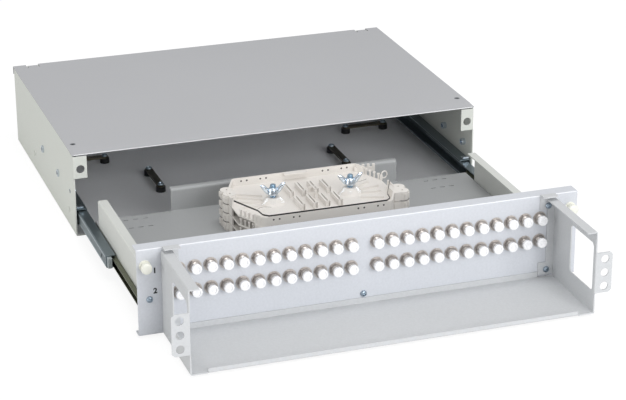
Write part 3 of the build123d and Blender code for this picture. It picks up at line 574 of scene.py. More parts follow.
def skin(
    shape: bmesh.types.BMesh, first: Sequence[bmesh.types.BMVert], second: Sequence[bmesh.types.BMVert]
) -> None:
    """Join two loops of as many corners by faces all round.

    Args:
        shape: Shape that holds the corners.
        first: Corners of one loop, in order.
        second: Corners of the other loop, in the same order.
    """
    for index in range(len(first)):
        after = (index + 1) % len(first)
        shape.faces.new((first[index], first[after], second[after], second[index]))


def turned(rings: Sequence[Ring], segments: int, facing: Facing = Facing.UP) -> bpy.types.Mesh:
    """Build a closed turned solid from rings given bottom inside to top inside.

    Each ring maps an angle to a radius and a height, so that a ring may be round, hexagonal, cross-shaped
    or part of a helix. The first and the last ring are closed by a face.

    Args:
        rings: The rings in order along the surface.
        segments: Steps round the axis.
        facing: Way that the axis points.

    Returns:
        The mesh about its own origin.
    """
    shape = bmesh.new()
    loops = []
    for ring in rings:
        loop = []
        for step, (cosine, sine) in enumerate(turns(segments)):
            radius, height = ring(TURN * step / segments)
            loop.append(shape.verts.new((radius * cosine, radius * sine, height)))
        loops.append(loop)
    for low, high in zip(loops, loops[1:]):
        skin(shape, low, high)
    shape.faces.new(list(reversed(loops[0])))
    shape.faces.new(loops[-1])
    bmesh.ops.recalc_face_normals(shape, faces=shape.faces)
    shape.transform(facing.value)
    mesh = bpy.data.meshes.new("turned")
    shape.to_mesh(mesh)
    shape.free()
    return smooth(mesh)


def circle(radius: float, height: float) -> Ring:
    """Return a round ring."""
    return lambda angle: (radius, height)


def hexagon(radius: float, height: float) -> Ring:
    """Return a hexagonal ring, with radius across its flats."""
    sector = math.pi / 3

    def ring(angle: float) -> tuple[float, float]:
        """Return the hexagon's radius at an angle."""
        return radius / math.cos((angle % sector) - sector / 2), height

    return ring


def cross(length: float, width: float, height: float) -> Ring:
    """Return a ring in the form of a cross recess.

    Args:
        length: Half length of an arm.
        width: Half width of an arm.
        height: Height of the ring.

    Returns:
        The ring.
    """

    def ring(angle: float) -> tuple[float, float]:
        """Return the cross's radius at an angle."""
        cosine, sine = abs(math.cos(angle)) + TINY, abs(math.sin(angle)) + TINY
        return max(min(length / cosine, width / sine), min(length / sine, width / cosine)), height

    return ring


def lobed(radius: float, lobes: int, depth: float, height: float) -> Ring:
    """Return a ring whose rim dips by a share of its radius between equal lobes."""
    return lambda angle: (radius * (1 - depth * (0.5 - 0.5 * math.cos(lobes * angle))), height)


def thread(radius: float, depth: float, pitch: float, low: float, high: float, steps: int = 4) -> list[Ring]:
    """Return the rings of an outside thread.

    Args:
        radius: Outside radius.
        depth: Depth of the groove.
        pitch: Rise of one turn.
        low: Height where the thread starts.
        high: Height where it ends.
        steps: Rings for each turn.

    Returns:
        Rings from low to high, whose radius rises and falls along a helix.
    """
    count = max(2, round((high - low) / pitch * steps))

    def at(height: float) -> Ring:
        """Return the thread's ring at one height."""

        def ring(angle: float) -> tuple[float, float]:
            """Return the thread's radius at an angle."""
            phase = (height / pitch - angle / TURN) % 1.0
            return radius - depth * abs(2 * phase - 1), height

        return ring

    return [at(low + (high - low) * index / count) for index in range(count + 1)]


class Shape:
    """Mesh put together from closed prisms, bars and tubes."""

    def __init__(self) -> None:
        """Start with nothing."""
        self.mesh = bmesh.new()

    def prism(self, outline: Route, low: float, high: float) -> None:
        """Add an upright prism.

        Args:
            outline: Its corners in plan, in order.
            low: Height of its foot.
            high: Height of its top.
        """
        foot = [self.mesh.verts.new((x, y, low)) for x, y in outline]
        top = [self.mesh.verts.new((x, y, high)) for x, y in outline]
        self.mesh.faces.new(list(reversed(foot)))
        self.mesh.faces.new(top)
        skin(self.mesh, foot, top)

    def bar(self, places: Route, width: float, low: float, high: float) -> None:
        """Add a bar of even width that runs through places in plan.

        Args:
            places: The places in order.
            width: Width of the bar.
            low: Height of its foot.
            high: Height of its top.
        """
        path = [Vector(place) for place in places]
        left, right = [], []
        for index, place in enumerate(path):
            along = (path[min(index + 1, len(path) - 1)] - path[max(index - 1, 0)]).normalized()
            side = Vector((-along.y, along.x)) * width / 2
            left.append(tuple(place + side))
            right.append(tuple(place - side))
        self.prism(right + list(reversed(left)), low, high)

    def tube(self, path: Sequence[Vector], radius: float, closed: bool = False, sides: int = 10) -> None:
        """Add a round tube along a path.

        Args:
            path: Places along its middle.
            radius: Radius of the tube.
            closed: Whether its end joins its start.
            sides: Steps round the tube.
        """
        loops, count = [], len(path)
        for index, place in enumerate(path):
            after = path[(index + 1) % count] if closed else path[min(index + 1, count - 1)]
            along = (after - path[index - 1 if closed else max(index - 1, 0)]).normalized()
            aside = along.cross(ASKEW).normalized()
            above = along.cross(aside)
            spots = [place + (aside * cosine + above * sine) * radius for cosine, sine in turns(sides)]
            loops.append([self.mesh.verts.new(spot) for spot in spots])
        for first, second in zip(loops, loops[1:] + loops[:1] if closed else loops[1:]):
            skin(self.mesh, first, second)
        if not closed:
            self.mesh.faces.new(loops[0])
            self.mesh.faces.new(loops[-1])

    def finished(self, place: Matrix | None = None, angle: float = 35.0) -> bpy.types.Mesh:
        """Return the shape as a mesh with its faces outward.

        Args:
            place: Transform put into the mesh.
            angle: Edges sharper than this many degrees stay sharp.

        Returns:
            The mesh. The shape itself is used up.
        """
        bmesh.ops.recalc_face_normals(self.mesh, faces=self.mesh.faces)
        if place is not None:
            self.mesh.transform(place)
        mesh = bpy.data.meshes.new("shape")
        self.mesh.to_mesh(mesh)
        self.mesh.free()
        return smooth(mesh, angle)


@dataclass
class Island:
    """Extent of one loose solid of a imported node."""

    low: Vector
    high: Vector

    @property
    def centre(self) -> Vector:
        """Middle of the solid's box."""
        return (self.low + self.high) / 2


def islands(node: str) -> list[Island]:
    """Find the extents of a node's loose solids.

    Args:
        node: Name of the node.

    Returns:
        The extents, read from a merged copy of the node's mesh.
    """
    shape = bmesh.new()
    shape.from_mesh(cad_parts[node].data)
    bmesh.ops.remove_doubles(shape, verts=shape.verts, dist=TINY)
    found, seen = [], set()
    for start in shape.verts:
        if start.index in seen:
            continue
        seen.add(start.index)
        stack, members = [start], []
        while stack:
            vertex = stack.pop()
            members.append(vertex.co.copy())
            for edge in vertex.link_edges:
                other = edge.other_vert(vertex)
                if other.index not in seen:
                    seen.add(other.index)
                    stack.append(other)
        low = Vector(map(min, zip(*members)))
        high = Vector(map(max, zip(*members)))
        found.append(Island(low, high))
    shape.free()
    return found


class Repeater:
    """Geometry Nodes trees that set one prototype at every point of a mesh or a row."""

    @staticmethod
    def _tree(name: str, extra: Sockets = ()) -> tuple[bpy.types.NodeTree, bpy.types.Node, bpy.types.Node]:
        """Start a tree with the inputs that every repeat has.

        Args:
            name: Name of the tree.
            extra: Name and socket type of its further inputs.

        Returns:
            The tree and its input and output nodes.
        """
        tree = bpy.data.node_groups.new(name, "GeometryNodeTree")
        for label, kind in (
            ("Geometry", "Geometry"),
            ("Prototype", "Object"),
            ("Turn Axis", "Vector"),
            ("Turn Limit", "Float"),
            ("Seed", "Int"),
            ("Finish", "Material"),
            *extra,
        ):
            tree.interface.new_socket(label, in_out="INPUT", socket_type=f"NodeSocket{kind}")
        tree.interface.new_socket("Geometry", in_out="OUTPUT", socket_type="NodeSocketGeometry")
        return tree, tree.nodes.new("NodeGroupInput"), tree.nodes.new("NodeGroupOutput")

    @staticmethod
    def _instance(
        tree: bpy.types.NodeTree, source: bpy.types.Node, sink: bpy.types.Node, mesh: bpy.types.NodeSocket
    ) -> None:
        """Instance the prototype on a mesh's corners, realise the copies and give them their finish.

        Args:
            tree: Tree that gets the nodes.
            source: Its group input.
            sink: Its group output.
            mesh: Socket with the mesh.
        """
        given = source.outputs
        points = add_node(tree, "GeometryNodeMeshToPoints", {"Mesh": mesh}).outputs["Points"]
        info = add_node(tree, "GeometryNodeObjectInfo", {"Object": given["Prototype"]})
        pattern = info.outputs["Geometry"]
        least = maths(tree, "MULTIPLY", given["Turn Limit"], -1.0)
        chance = add_node(tree, "FunctionNodeRandomValue", {"Seed": given["Seed"]}, data_type="FLOAT")
        lowest, highest = [socket for socket in chance.inputs if socket.type == "VALUE"][:2]
        tree.links.new(least, lowest)
        tree.links.new(given["Turn Limit"], highest)
        angle = next(socket for socket in chance.outputs if socket.type == "VALUE" and socket.enabled)
        axis = given["Turn Axis"]
        turn = add_node(tree, "FunctionNodeAxisAngleToRotation", {"Axis": axis, "Angle": angle})
        spread = {"Points": points, "Instance": pattern, "Rotation": turn.outputs["Rotation"]}
        copies = add_node(tree, "GeometryNodeInstanceOnPoints", spread).outputs["Instances"]
        real = add_node(tree, "GeometryNodeRealizeInstances", {"Geometry": copies}).outputs["Geometry"]
        finish = given["Finish"]
        coat = add_node(tree, "GeometryNodeSetMaterial", {"Geometry": real, "Material": finish})
        feed(tree, sink, {"Geometry": coat.outputs["Geometry"]})

    @classmethod
    def on_points(cls) -> bpy.types.NodeTree:
        """Return the tree that sets the prototype at every vertex of its own mesh."""
        name = "repeat_on_points"
        if name not in bpy.data.node_groups:
            tree, source, sink = cls._tree(name)
            cls._instance(tree, source, sink, source.outputs["Geometry"])
        return bpy.data.node_groups[name]

    @classmethod
    def mirrored_row(cls) -> bpy.types.NodeTree:
        """Return the tree that sets the prototype along a row and its mirror image about X = 0."""
        name = "repeat_in_mirrored_row"
        if name not in bpy.data.node_groups:
            tree, source, sink = cls._tree(name, (("Count", "Int"), ("Start", "Vector"), ("Step", "Vector")))
            given = source.outputs
            layout = {"Count": given["Count"], "Start Location": given["Start"], "Offset": given["Step"]}
            row = add_node(tree, "GeometryNodeMeshLine", layout, mode="OFFSET").outputs["Mesh"]
            flip = {"Geometry": row, "Scale": (-1.0, 1.0, 1.0)}
            flipped = add_node(tree, "GeometryNodeTransform", flip).outputs["Geometry"]
            both = add_node(tree, "GeometryNodeJoinGeometry", {"Geometry": row})
            feed(tree, both, {"Geometry": flipped})
            cls._instance(tree, source, sink, both.outputs["Geometry"])
        return bpy.data.node_groups[name]

    @staticmethod
    def run(
        tree: bpy.types.NodeTree,
        prototype: bpy.types.Mesh,
        finish: Finish,
        facing: Facing,
        points: Sequence[Vector] = (),
        turn_limit: float = 0.0,
        seed: int = 1,
        **extra: object,
    ) -> bpy.types.Mesh:
        """Run a tree once and return the plain mesh that it makes.

        Args:
            tree: Tree to run.
            prototype: Mesh to repeat.
            finish: Finish of the copies.
            facing: Way that the prototype's axis points, about which copies are turned at random.
            points: Places for the copies, where the tree takes them from its own mesh.
            turn_limit: Largest random turn either way, in radians.
            seed: Seed of the random turn.
            extra: Values of the tree's further inputs, by name with underscores for spaces.

        Returns:
            The realised mesh.
        """
        pattern = bpy.data.objects.new("prototype", prototype)
        bpy.context.scene.collection.objects.link(pattern)
        carrier_mesh = bpy.data.meshes.new("points")
        carrier_mesh.from_pydata([tuple(p) for p in points], [], [])
        carrier = bpy.data.objects.new("carrier", carrier_mesh)
        bpy.context.scene.collection.objects.link(carrier)
        modifier = carrier.modifiers.new("repeat", "NODES")
        modifier.node_group = tree
        values = {
            "Prototype": pattern,
            "Turn Axis": facing.axis(),
            "Turn Limit": float(turn_limit),
            "Seed": seed,
            "Finish": finish.build(),
            **{key.replace("_", " "): value for key, value in extra.items()},
        }
        for item in tree.interface.items_tree:
            if item.item_type == "SOCKET" and item.in_out == "INPUT" and item.name in values:
                modifier[item.identifier] = values[item.name]
        bpy.context.view_layer.update()
        graph = bpy.context.evaluated_depsgraph_get()
        made = bpy.data.meshes.new_from_object(carrier.evaluated_get(graph))
        carrier.modifiers.remove(modifier)
        bpy.data.objects.remove(carrier)
        bpy.data.objects.remove(pattern)
        return smooth(made)


@dataclass
class Screws:
    """Screws with a cross recess, in shares of the head, and a thread, in shares of the shank's radius."""

    shank: float = 1.5 * MM
    arm: float = 0.62
    arm_width: float = 0.17
    recess: float = 0.5
    thread_depth: float = 0.18
    thread_pitch: float = 0.5
    segments: int = 48

    def thread(self, low: float, high: float) -> list[Ring]:
        """Return the rings of the shank's thread from low to high."""
        depth, pitch = self.shank * self.thread_depth, self.shank * self.thread_pitch
        return thread(self.shank, depth, pitch, low, high, steps=3)

    def head(self, radius: float, height: float, length: float, facing: Facing) -> bpy.types.Mesh:
        """Build one screw with its seat at the origin.

        Args:
            radius: Radius of the head.
            height: Height of the head.
            length: Length of the shank below the seat.
            facing: Way that the head points.

        Returns:
            The screw's mesh.
        """
        depth = height * (1 - self.recess)
        tip = self.shank * 0.4
        rings = [
            circle(self.shank * 0.6, -length),
            circle(self.shank, tip - length),
            *self.thread(tip - length, -HAIR),
            circle(radius, 0.0),
            circle(radius, height * 0.35),
            circle(radius * 0.93, height * 0.68),
            circle(radius * 0.8, height * 0.88),
            circle(radius * 0.68, height * 0.97),
            cross(radius * self.arm, radius * self.arm_width, height),
            cross(radius * self.arm * 0.75, radius * self.arm_width * 0.8, depth),
            circle(radius * 0.04, depth * 0.8),
        ]
        return turned(rings, self.segments, facing)

    def countersunk(self, radius: float, depth: float, length: float) -> bpy.types.Mesh:
        """Build one countersunk screw with its flat top at the origin, facing up.

        Args:
            radius: Radius of the head.
            depth: Depth of the cone.
            length: Whole length below the top.

        Returns:
            The screw's mesh.
        """
        rings = [
            circle(self.shank * 0.7, -length),
            *self.thread(self.shank * 0.3 - length, -depth),
            circle(radius, -HAIR),
            circle(radius * 0.97, 0.0),
            cross(radius * self.arm, radius * self.arm_width, 0.0),
            cross(radius * self.arm * 0.7, radius * self.arm_width * 0.8, -depth * 0.8),
            circle(radius * 0.04, -depth),
        ]
        return turned(rings, self.segments)

    def dress(
        self, node: str, facing: Facing, seat: float, body: str, slot: str, head_height: float
    ) -> None:
        """Replace a node of plain screws by screws with recess and thread.

        Args:
            node: Name of the node.
            facing: Way that its heads point.
            seat: Coordinate of the seat plane along the heads' axis.
            body: Body that carries them.
            slot: Not used.
            head_height: Height of a head.
        """
        along = 2 if facing is Facing.UP else 1
        solids = islands(node)
        first = solids[0]
        length = (first.high[along] - first.low[along]) - head_height
        screw = self.head((first.high.x - first.low.x) / 2, head_height, length, facing)
        points = [solid.centre for solid in solids]
        for point in points:
            point[along] = seat
        tree, seed = Repeater.on_points(), len(points)
        mesh = Repeater.run(tree, screw, SCREW_ZINC, facing, points=points, turn_limit=math.pi, seed=seed)
        made = piece(f"{node}_detailed", mesh, SCREW_ZINC, body)
        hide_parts(node)


@dataclass
class Housing:
    """Fixed part: body, cover, cable entries, inserts, clamps and the outer slides' fixings."""

    screws: Screws = field(default_factory=Screws)
    screw_head: float = 2.0 * MM
    cover_sheet: float = 1.2 * MM
    edge_radius: float = 0.42 * MM
    edge_end: float = 2.0 * MM
    edge_proud: float = 0.12 * MM
    rim_depth: float = 0.1 * MM

    def build(self) -> None:
        """Dress the whole fixed part."""
        finish_node(["top_cover"], SHADED_COVER_COAT)
        finish_node(["housing_body"], BODY_COAT)
        finish_node(["cable_grommets"], RUBBER_BLACK)
        finish_node(["side_inserts", "slide_stop_left", "slide_stop_right"], BRIGHT_ZINC)
        finish_node(["slide_rivets"], BODY_COAT)
        finish_node(["clamp_posts"], POST_BLACK)
        clamps = [f"cable_clamp_{row}_{side}" for row in ("front", "rear") for side in ("left", "right")]
        finish_node(clamps, CLAMP_METAL)
        bar_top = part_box(clamps[0])[1].z
        self.screws.dress("clamp_screws", Facing.UP, bar_top, "housing", "zinc", self.screw_head)
        self.cover_screws()
        self.cover_edge()

    def cover_screws(self) -> None:
        """Replace the cover's plain screws by countersunk ones with a cross recess."""
        solids = islands("cover_screws")
        first = solids[0]
        radius = (first.high.x - first.low.x) / 2
        screw = self.screws.countersunk(radius, self.cover_sheet, first.high.z - first.low.z)
        points = [Vector((solid.centre.x, solid.centre.y, solid.high.z)) for solid in solids]
        tree = Repeater.on_points()
        mesh = Repeater.run(tree, screw, DULL_ZINC, Facing.UP, points=points, turn_limit=math.pi, seed=3)
        made = piece("cover_screws_detailed", mesh, DULL_ZINC, "housing")
        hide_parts("cover_screws")

    def cover_edge(self) -> None:
        """Round the cut front edge of the cover with a pale bead, a painted highlight along the edge."""
        low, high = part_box("top_cover")
        corners = [vertex.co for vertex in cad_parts["top_cover"].data.vertices]
        rim = [place.z for place in corners if place.y < low.y + self.rim_depth]
        height, depth = (min(rim) + max(rim)) / 2, low.y + self.edge_radius - self.edge_proud
        ends = (low.x + self.edge_end, high.x - self.edge_end)
        shape = Shape()
        shape.tube([Vector((x, depth, height)) for x in ends], self.edge_radius)
        piece("cover_front_edge", shape.finished(), HIGHLIGHT_COAT, "housing")


@dataclass
class Slides:
    """Telescopic slides of both sides with their cages, balls and bumpers."""

    ball_radius: float = 0.8 * MM
    ball_pitch: float = 6.0 * MM
    ball_inset: float = 0.25 * MM
    cage_ends: float = 4.0 * MM
    bead_radius: float = 0.5 * MM
    bead_inset: float = 1.7 * MM
    edge_radius: float = 0.35 * MM
    edge_inset: float = 0.5 * MM
    edge_sink: float = 0.2 * MM
    line_end: float = 2.5 * MM

    def build(self) -> None:
        """Dress the slide members, cages and bumpers and add balls and rolled beads."""
        sides = ("left", "right")
        finish_node([f"slide_outer_{side}" for side in sides], DARK_ZINC)
        finish_node([f"slide_middle_{side}" for side in sides], DARK_ZINC)
        finish_node([f"slide_inner_{side}" for side in sides], BRASSY_ZINC)
        finish_node([f"{cage}_cage_{side}" for cage in ("outer", "inner") for side in sides], CAGE_BLACK)
        finish_node([f"middle_bumper_{side}" for side in sides], BUMPER_GREY)
        for side in sides:
            self.beads(side)
            for cage in ("outer", "inner"):
                self.balls(f"{cage}_cage_{side}")

    def beads(self, side: str) -> None:
        """Add the rolled beads along a middle member's web and lines along the channels' lips, in a pale
        zinc that paints their highlights.

        Args:
            side: Side of the housing, left or right.
        """
        for member, body in (("middle", f"middle_{side}"), ("outer", "housing")):
            low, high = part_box(f"slide_{member}_{side}")
            web, lip = low.x, high.x - self.edge_sink
            if side == "right":
                web, lip = high.x, low.x + self.edge_sink
            lines = [(lip, self.edge_inset, self.edge_radius)]
            if member == "middle":
                lines.append((web, self.bead_inset, self.bead_radius))
            ends = (low.y + self.line_end, high.y - self.line_end)
            shape = Shape()
            for x, inset, radius in lines:
                for height in (low.z + inset, high.z - inset):
                    shape.tube([Vector((x, y, height)) for y in ends], radius)
            piece(f"slide_{member}_{side}_edges", shape.finished(), HIGHLIGHT_ZINC, body)

    def balls(self, cage: str) -> None:
        """Set the balls along the upper and the lower wall of one cage.

        Args:
            cage: Name of the cage's node, which is its body's name too.
        """
        low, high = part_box(cage)
        ball = bmesh.new()
        bmesh.ops.create_icosphere(ball, subdivisions=2, radius=self.ball_radius)
        mesh = bpy.data.meshes.new("ball")
        ball.to_mesh(mesh)
        ball.free()
        count = int((high.y - low.y - self.cage_ends) / self.ball_pitch) + 1
        start = (low.y + high.y - (count - 1) * self.ball_pitch) / 2
        points = [
            Vector(((low.x + high.x) / 2, start + index * self.ball_pitch, height))
            for height in (low.z + self.ball_inset, high.z - self.ball_inset)
            for index in range(count)
        ]
        made = Repeater.run(Repeater.on_points(), mesh, BRIGHT_ZINC, Facing.UP, points=points)
        piece(f"{cage}_balls", made, BRIGHT_ZINC, cage)


@dataclass
class Drawer:
    """Tray, sides and front panel of the drawer, with screws and row numbers."""

    screws: Screws = field(default_factory=Screws)
    screw_head: float = 2.0 * MM
    bend: float = 1.5 * MM
    bend_bead: float = 0.3 * MM
    bead_rise: float = 0.1 * MM
    number_size: float = 7.2 * MM
    number_weight: float = 0.32 * MM
    number_x: float = -200.8 * MM
    number_heights: tuple[float, float] = (65.8 * MM, 45.7 * MM)
    ink_lift: float = 0.03 * MM

    def build(self) -> None:
        """Dress the drawer's sheets, screws and print."""
        finish_node(["drawer_tray"], SHADED_TRAY_COAT)
        finish_node(["drawer_side_left", "drawer_side_right"], SIDE_COAT)
        finish_node(["front_panel"], PANEL_COAT)
        finish_node(["drawer_rivets"], BRIGHT_ZINC)
        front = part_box("front_panel")[0].y
        self.screws.dress("panel_screws", Facing.FRONT, front, "drawer", "zinc", self.screw_head)
        for text, height in zip("12", self.number_heights):
            self.number(text, front, height)
        self.panel_bend()

    def panel_bend(self) -> None:
        """Draw a pale line along the panel's upper bend, a painted highlight."""
        low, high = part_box("front_panel")
        reach = (self.bend - self.bend_bead + self.bead_rise) * math.sqrt(0.5)
        depth, height = low.y + self.bend - reach, high.z - self.bend + reach
        ends = (low.x + self.bend, high.x - self.bend)
        shape = Shape()
        shape.tube([Vector((x, depth, height)) for x in ends], self.bend_bead)
        piece("panel_bend_line", shape.finished(), HIGHLIGHT_COAT, "drawer")

    def number(self, text: str, front: float, height: float) -> None:
        """Print one row's number on the panel.

        Args:
            text: The number.
            front: Y of the panel's front face.
            height: Height of the number's middle.
        """
        curve = bpy.data.curves.new(f"number_{text}", "FONT")
        curve.body = text
        curve.size = self.number_size
        curve.align_x = "CENTER"
        curve.align_y = "CENTER"
        curve.extrude = self.ink_lift / 2
        curve.offset = self.number_weight
        shape = bpy.data.objects.new("number", curve)
        bpy.context.scene.collection.objects.link(shape)
        bpy.context.view_layer.update()
        mesh = bpy.data.meshes.new_from_object(shape.evaluated_get(bpy.context.evaluated_depsgraph_get()))
        bpy.data.objects.remove(shape)
        place = Matrix.Translation((self.number_x, front - self.ink_lift / 2, height))
        mesh.transform(place @ Facing.FRONT.value)
        piece(f"row_number_{text}", mesh, BLACK_INK, "drawer")


@dataclass
class AdapterField:
    """Two rows of fibre adapters with nuts, threaded barrels and dust caps."""

    group_half_gap: float = 12.6 * MM
    group_size: int = 12
    nut_flats: float = 5.35 * MM
    nut_height: float = 1.9 * MM
    nut_turn: float = 0.5
    washer: float = 6.75 * MM
    washer_height: float = 0.5 * MM
    washer_bevel: float = 0.1 * MM
    thread_depth: float = 0.34 * MM
    thread_pitch: float = 0.8 * MM
    plain_end: float = 0.8 * MM
    collar_back: float = 5.0 * MM
    collar_front: float = 1.25 * MM
    cap_lobes: int = 10
    cap_lobe_depth: float = 0.05
    cap_dish: float = 0.9 * MM
    segments: int = 40

    def build(self) -> None:
        """Replace both rows of adapters and caps by detailed ones."""
        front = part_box("front_panel")[0].y
        for row in ("upper", "lower"):
            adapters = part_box(f"adapters_{row}_row")
            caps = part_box(f"dust_caps_{row}_row")
            barrel = (adapters[1].z - adapters[0].z) / 2
            cap = (caps[1].z - caps[0].z) / 2
            height = (caps[0].z + caps[1].z) / 2
            first = self.group_half_gap
            step = (caps[1].x - cap - first) / (self.group_size - 1)
            reach, tail = front - adapters[0].y, adapters[1].y - front
            layout = {
                "facing": Facing.FRONT,
                "Count": self.group_size,
                "Start": Vector((first, front, height)),
                "Step": Vector((step, 0, 0)),
            }
            tree = Repeater.mirrored_row()
            metal = Repeater.run(tree, self.adapter(barrel, reach, tail), ADAPTER_METAL, **layout)
            made = piece(f"adapters_{row}_detailed", metal, ADAPTER_METAL, "drawer")
            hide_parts(f"adapters_{row}_row")
            turn = self.nut_turn
            nuts = Repeater.run(tree, self.nut(barrel), SHADED_NUT_METAL, turn_limit=turn, seed=5, **layout)
            piece(f"adapter_nuts_{row}", nuts, SHADED_NUT_METAL, "drawer")
            white = Repeater.run(tree, self.cap(cap, reach, front - caps[0].y), CAP_WHITE, **layout)
            made = piece(f"caps_{row}_detailed", white, CAP_WHITE, "drawer")
            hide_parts(f"dust_caps_{row}_row")

    def adapter(self, barrel: float, reach: float, tail: float) -> bpy.types.Mesh:
        """Build one adapter: tail, collar, washer and threaded barrel.

        Args:
            barrel: Radius of the barrel.
            reach: Length in front of the panel.
            tail: Length behind the panel's front face.

        Returns:
            The adapter's mesh about the panel's front face.
        """
        seat, start, end = self.washer_height, self.nut_height + 0.1 * MM, reach - self.plain_end
        rings = [
            circle(barrel * 0.8, -tail),
            circle(barrel * 0.86, -tail + 0.4 * MM),
            circle(barrel * 0.86, -self.collar_back),
            circle(barrel * 1.1, -self.collar_back),
            circle(barrel * 1.1, -self.collar_front),
            circle(barrel, -self.collar_front),
            circle(barrel, -HAIR),
            circle(self.washer, 0.0),
            circle(self.washer, seat - self.washer_bevel),
            circle(self.washer - self.washer_bevel, seat),
            circle(barrel * 0.93, seat + HAIR),
            circle(barrel * 0.93, self.nut_height + 0.05 * MM),
            *thread(barrel * 0.96, self.thread_depth, self.thread_pitch, start, end - 0.1 * MM),
            circle(barrel * 0.9, end),
            circle(barrel * 0.9, reach),
        ]
        return turned(rings, self.segments, Facing.FRONT)

    def nut(self, barrel: float) -> bpy.types.Mesh:
        """Build the hexagonal nut that clamps one adapter.

        Args:
            barrel: Radius of the adapter's barrel.

        Returns:
            The nut's mesh about the panel's front face.
        """
        flats, foot, top = self.nut_flats, self.washer_height, self.nut_height
        rings = [
            circle(barrel * 0.85, foot),
            hexagon(flats * 0.98, foot + HAIR),
            hexagon(flats, foot + 0.15 * MM),
            hexagon(flats, top - 0.15 * MM),
            hexagon(flats * 0.97, top),
            circle(barrel * 0.85, top + HAIR),
        ]
        return turned(rings, self.segments, Facing.FRONT)

    def cap(self, radius: float, start: float, end: float) -> bpy.types.Mesh:
        """Build one dust cap with a rounded rim, a shallow dish and a raised middle ring.

        Args:
            radius: Outside radius.
            start: Distance of its foot from the panel's front face.
            end: Distance of its end from the panel's front face.

        Returns:
            The cap's mesh about the panel's front face.
        """
        dish, lobes, depth = self.cap_dish, self.cap_lobes, self.cap_lobe_depth
        rings = [
            circle(radius * 0.93, start),
            lobed(radius, lobes, depth, start + 0.25 * MM),
            lobed(radius, lobes, depth, end - 0.8 * MM),
            lobed(radius * 0.97, lobes, depth, end - 0.3 * MM),
            circle(radius * 0.88, end - 2 * HAIR),
            circle(radius * 0.8, end),
            circle(radius * 0.6, end - HAIR),
            circle(radius * 0.54, end - dish),
            circle(radius * 0.36, end - dish),
            circle(radius * 0.33, end - dish * 0.5),
            circle(radius * 0.05, end - dish * 0.45),
        ]
        return turned(rings, self.segments, Facing.FRONT)


@dataclass
class Trough:
    """Folded trough in front of the panel, with its screws."""

    screws: Screws = field(default_factory=Screws)
    screw_head: float = 2.0 * MM
    sheet: float = 1.2 * MM

    def build(self) -> None:
        """Dress the trough and its screws."""
        finish_node(["patch_trough"], TROUGH_COAT)
        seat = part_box("patch_trough")[1].y - self.sheet
        self.screws.dress("trough_screws", Facing.FRONT, seat, "drawer", "zinc", self.screw_head)


